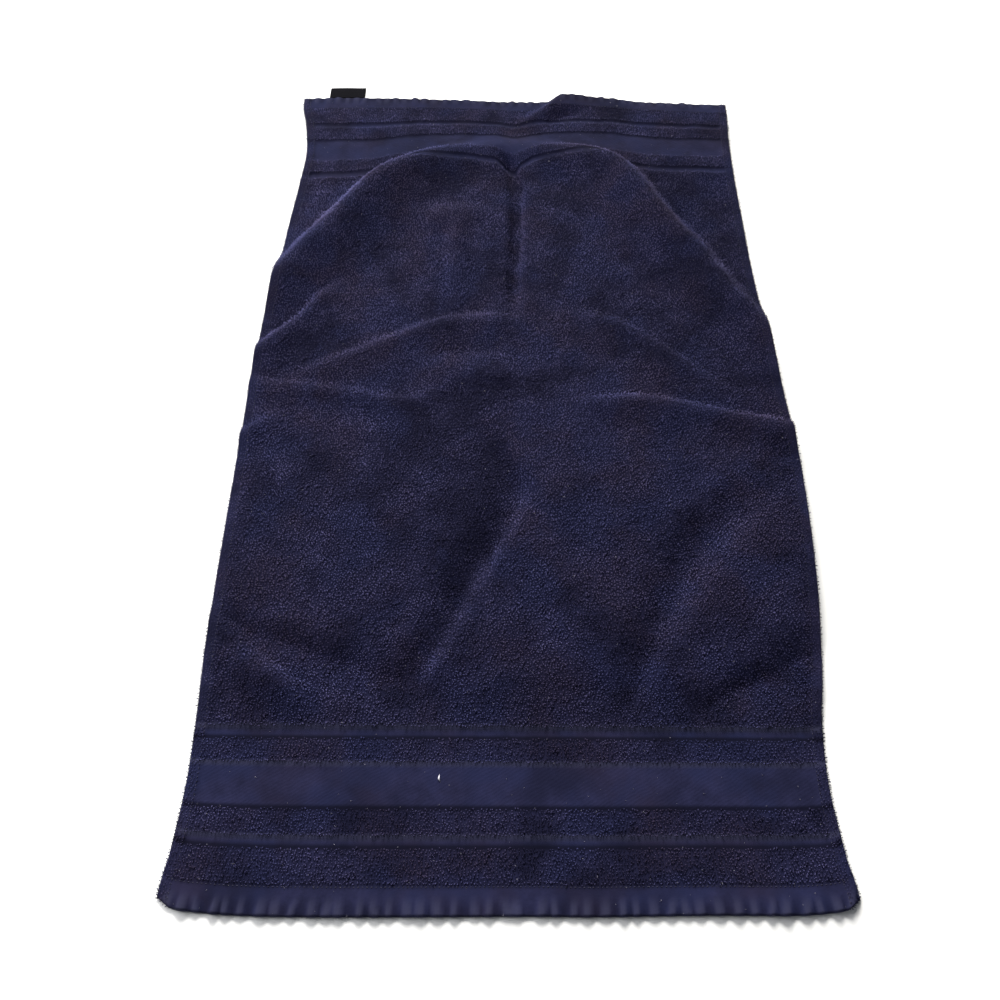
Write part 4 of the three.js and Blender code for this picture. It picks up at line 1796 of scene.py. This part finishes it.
@dataclass(frozen=True)
class ThreadEnd:
    """One short white end of thread, lying on the near border."""

    place: tuple[float, float] = (-52.0, -344.0)
    rise: float = 0.1
    turn: float = 1.75
    shape: Spindle = Spindle(7.0, 1.4, 0.8, 0.5, 0.1)

    def build(self, sheet: ClothSheet, material: Material) -> Piece:
        """Builds the thread end.

        Args:
            sheet: The cloth that it lies on.
            material: Its finish.

        Returns:
            The thread end as one piece.
        """
        piece = self.shape.build("thread_end")
        grid = sheet.grid
        apart = np.hypot(grid.x - self.place[0], grid.y - self.place[1])
        height = grid.top.ravel()[apart.argmin()] + self.rise
        middle = sheet.placed(*np.array([*self.place, height]))
        piece.data.transform(Matrix.Translation(Vector(middle)) @ Matrix.Rotation(self.turn, 4, "Z"))
        piece.data.materials.append(material)
        return piece


@dataclass(frozen=True)
class Seams:
    """Stitches of the side hems and of the end hems."""

    edge_pitch: float = 3.0
    seam_pitch: float = 3.2
    hem_inset: float = 1.0
    waver: float = 0.25
    edge_stitch: Spindle = Spindle(2.6, 0.9, 0.35, 0.1, 0.6)
    seam_stitch: Spindle = Spindle(2.8, 0.55, 0.25, 0.0, 0.35)

    def build(self, sheet: ClothSheet, stitcher: Stitcher, material: Material) -> list[Piece]:
        """Builds every line of stitches.

        Args:
            sheet: The cloth that they hold.
            stitcher: The tree that sets them.
            material: Finish of the thread.

        Returns:
            The stitches round the side edges, and those along the hems.
        """
        steps = len(sheet.towel.edge_steps)
        rows, columns = sheet.grid.x.shape
        distances = sheet.grid.hem_distance[: rows // 2, 0]
        hem = sheet.towel.bands.rows[0].width - self.hem_inset
        hem_row = int(np.argmin(np.abs(distances - hem)))
        pieces = []
        for name, part, at_edge in (
            ("edge_stitches_left", np.s_[:, 1], True),
            ("edge_stitches_right", np.s_[:, columns - 2], True),
            ("side_seam_left", np.s_[:, steps - 2], False),
            ("side_seam_right", np.s_[:, columns - steps + 1], False),
            ("hem_seam_near", np.s_[hem_row], False),
            ("hem_seam_far", np.s_[rows - 1 - hem_row], False),
        ):
            kit = {"stitch_0": self.edge_stitch if at_edge else self.seam_stitch}
            values = {
                "Pitch": (self.edge_pitch if at_edge else self.seam_pitch) * MM,
                "Turn": np.pi / 2 if at_edge else 0.0,
                "Waver": self.waver,
                "Finish": material,
            }
            line = line_object(name, sheet.line(part))
            pieces.append(stitcher.bake(name, line, kit, values))
        return pieces


@dataclass(frozen=True)
class Label:
    """A blank black tape, folded in half and caught in the far hem."""

    tape: float = 0.55
    fold_gap: float = 0.5
    bow: float = 0.5
    columns: int = 20
    steps: int = 12
    fold_steps: int = 6
    waver: float = 0.25
    seat_rise: float = 0.35
    bow_share: float = 0.7
    # The upper half stands above this height, and all of it above the least height
    upper_height: float = 0.9
    least_height: float = 0.02
    wave_turn: float = 5.0

    def centre_line(self, seat: float, outer: float) -> Array:
        """Traces the tape from the hem out to its fold and back under.

        Args:
            seat: Where it leaves the hem, along the towel.
            outer: Where its fold ends.

        Returns:
            Places along the towel and heights, in millimetres.
        """
        radius = (self.fold_gap + self.tape) / 2
        middle = self.tape / 2 + radius
        bend = outer - radius - self.tape / 2
        share = np.linspace(0.0, 1.0, self.steps)
        rise = self.bow * np.sin(np.pi * share) + self.seat_rise * (1.0 - share)
        out = seat + (bend - seat) * share
        back = seat + (bend - seat) * share[::-1]
        turn = np.linspace(np.pi / 2, -np.pi / 2, self.fold_steps)[1:-1]
        upper = np.stack([out, middle + radius + rise * self.bow_share], axis=1)
        fold = np.stack([bend + radius * np.cos(turn), middle + radius * np.sin(turn)], axis=1)
        lower = np.stack([back, np.full_like(back, middle - radius)], axis=1)
        return np.concatenate([upper, fold, lower])

    def build(self, material: Material) -> Piece:
        """Builds the label in the space of its CAD node.

        Args:
            material: Finish of the tape.

        Returns:
            The tape as one closed strip.
        """
        low, high = (np.array(corner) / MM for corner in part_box("label"))
        line = self.centre_line(low[1], high[1])
        run = np.gradient(line, axis=0)
        run /= np.linalg.norm(run, axis=1)[:, None]
        aside = np.stack([-run[:, 1], run[:, 0]], axis=1) * self.tape / 2
        y, z = np.concatenate([line + aside, (line - aside)[::-1]]).T
        x = np.linspace(low[0], high[0], self.columns)[:, None]
        wave = np.sin((x - low[0]) / (high[0] - low[0]) * self.wave_turn) * self.waver
        outwards = np.maximum((y - low[1]) / (high[1] - low[1]), 0.0) * (z > self.upper_height)
        height = np.maximum(z + wave * outwards, self.least_height)
        points = np.stack(np.broadcast_arrays(x, y, height), axis=-1).reshape(-1, 3)
        count = len(y)
        faces = []
        for i in range(0, (self.columns - 1) * count, count):
            for j in range(count):
                k = (j + 1) % count
                faces.append((i + j, i + k, i + count + k, i + count + j))
        last = len(points) - count
        for j in range(len(line) - 1):
            a, b, c, d = j, j + 1, count - 2 - j, count - 1 - j
            faces.append((a, d, c, b))
            faces.append((last + a, last + b, last + c, last + d))
        piece = make_mesh("label_tape", points * MM, faces)
        piece.data.materials.append(material)
        return piece


# Floor, light and camera


@dataclass(frozen=True)
class Lamp:
    """A square soft light, aimed at a point."""

    name: str
    place: tuple[float, float, float]
    target: tuple[float, float, float]
    size: float
    power: float
    colour: Colour = (1.0, 1.0, 1.0)

    def build(self) -> None:
        """Adds the light to the scene."""
        light = bpy.data.lights.new(self.name, "AREA")
        light.size = self.size
        light.energy = self.power
        light.color = self.colour
        lamp = in_scene(self.name, light)
        lamp.location = self.place
        aim = Vector(self.target) - Vector(self.place)
        lamp.rotation_euler = aim.to_track_quat("-Z", "Y").to_euler()


@dataclass(frozen=True)
class Studio:
    """A pale floor, soft light from beyond the far end, and the camera at the photograph's angle."""

    floor_size: float = 12.0
    world: Colour = (0.9, 0.95, 1.0)
    world_strength: float = 0.17
    lamps: tuple[Lamp, ...] = (
        Lamp("key", (-0.4, 4.6, 2.85), (0.0, 0.0, 0.0), 2.5, 750.0, (1.0, 0.98, 0.93)),
        Lamp("side", (-1.0, 0.1, 0.65), (-0.1, 0.0, 0.0), 0.9, 16.0),
    )
    camera_place: tuple[float, float, float] = (0.010144, -0.567283, 0.749540)
    camera_right: tuple[float, float, float] = (0.999662, 0.013517, -0.022201)
    camera_down: tuple[float, float, float] = (0.0, -0.854140, -0.520041)
    camera_ahead: tuple[float, float, float] = (-0.025992, 0.519866, -0.853851)
    lens: float = 36.0
    sensor: float = 36.0
    nearest: float = 0.01

    def build(self, material: Material) -> Piece:
        """Builds the studio.

        Args:
            material: Finish of the floor.

        Returns:
            The floor.
        """
        world = bpy.data.worlds.new("soft_sky")
        world.use_nodes = True
        background = world.node_tree.nodes["Background"]
        background.inputs["Color"].default_value = rgba(self.world)
        background.inputs["Strength"].default_value = self.world_strength
        bpy.context.scene.world = world
        for lamp in self.lamps:
            lamp.build()
        self.build_camera()
        corners = np.array([(-1.0, -1.0, 0.0), (1.0, -1.0, 0.0), (1.0, 1.0, 0.0), (-1.0, 1.0, 0.0)])
        floor = make_mesh("floor", corners * self.floor_size / 2, [(0, 1, 2, 3)])
        floor.data.materials.append(material)
        return floor

    def build_camera(self) -> None:
        """Places the camera where the photograph was taken from."""
        camera = bpy.data.cameras.new("camera")
        camera.lens = self.lens
        camera.sensor_width = self.sensor
        camera.clip_start = self.nearest
        body = in_scene("camera", camera)
        axes = (self.camera_right, [-v for v in self.camera_down], [-v for v in self.camera_ahead])
        body.matrix_world = Matrix.Translation(self.camera_place) @ Matrix(axes).transposed().to_4x4()
        bpy.context.scene.camera = body


# Putting it together


def report(piece: Piece) -> None:
    """Logs a piece's name and how many triangles it has."""
    piece.data.calc_loop_triangles()
    log.info("%s: %d triangles", piece.name, len(piece.data.loop_triangles))


def main() -> None:
    """Builds the towel's pieces in order and ties each to its frame."""
    logging.basicConfig(level=logging.INFO, format="%(message)s", force=True)
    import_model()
    bpy.context.scene.view_settings.view_transform = "Standard"
    shared = SharedShading()
    floor = Studio().build(FloorFinish().material(shared))

    sheet = ClothSheet.in_frame(Towel())
    cloth = sheet.build(GroundFinish().material(shared))
    loops = LoopFinish().material(shared)
    thread = ThreadFinish("navy_thread", (0.010, 0.009, 0.024), (0.03, 0.028, 0.07)).material(shared)
    pale = ThreadFinish("pale_lint", (0.10, 0.095, 0.14), (0.30, 0.29, 0.36)).material(shared)
    white = ThreadFinish("white_thread", (0.45, 0.44, 0.50), (0.80, 0.79, 0.85)).material(shared)
    sower = Sower()
    on_cloth = Pile().build(sheet, sower, loops)
    on_cloth += Seams().build(sheet, Stitcher(), thread)
    on_cloth.append(Lint().build(sheet, sower, pale))
    on_cloth.append(ThreadEnd().build(sheet, white))
    for piece in [cloth, *on_cloth]:
        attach(piece, "root")
        report(piece)
    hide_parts("towel_cloth")

    label = Label().build(TapeFinish().material(shared))
    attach(label, "root")
    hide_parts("label")
    report(label)


if __name__ == "__main__":
    main()
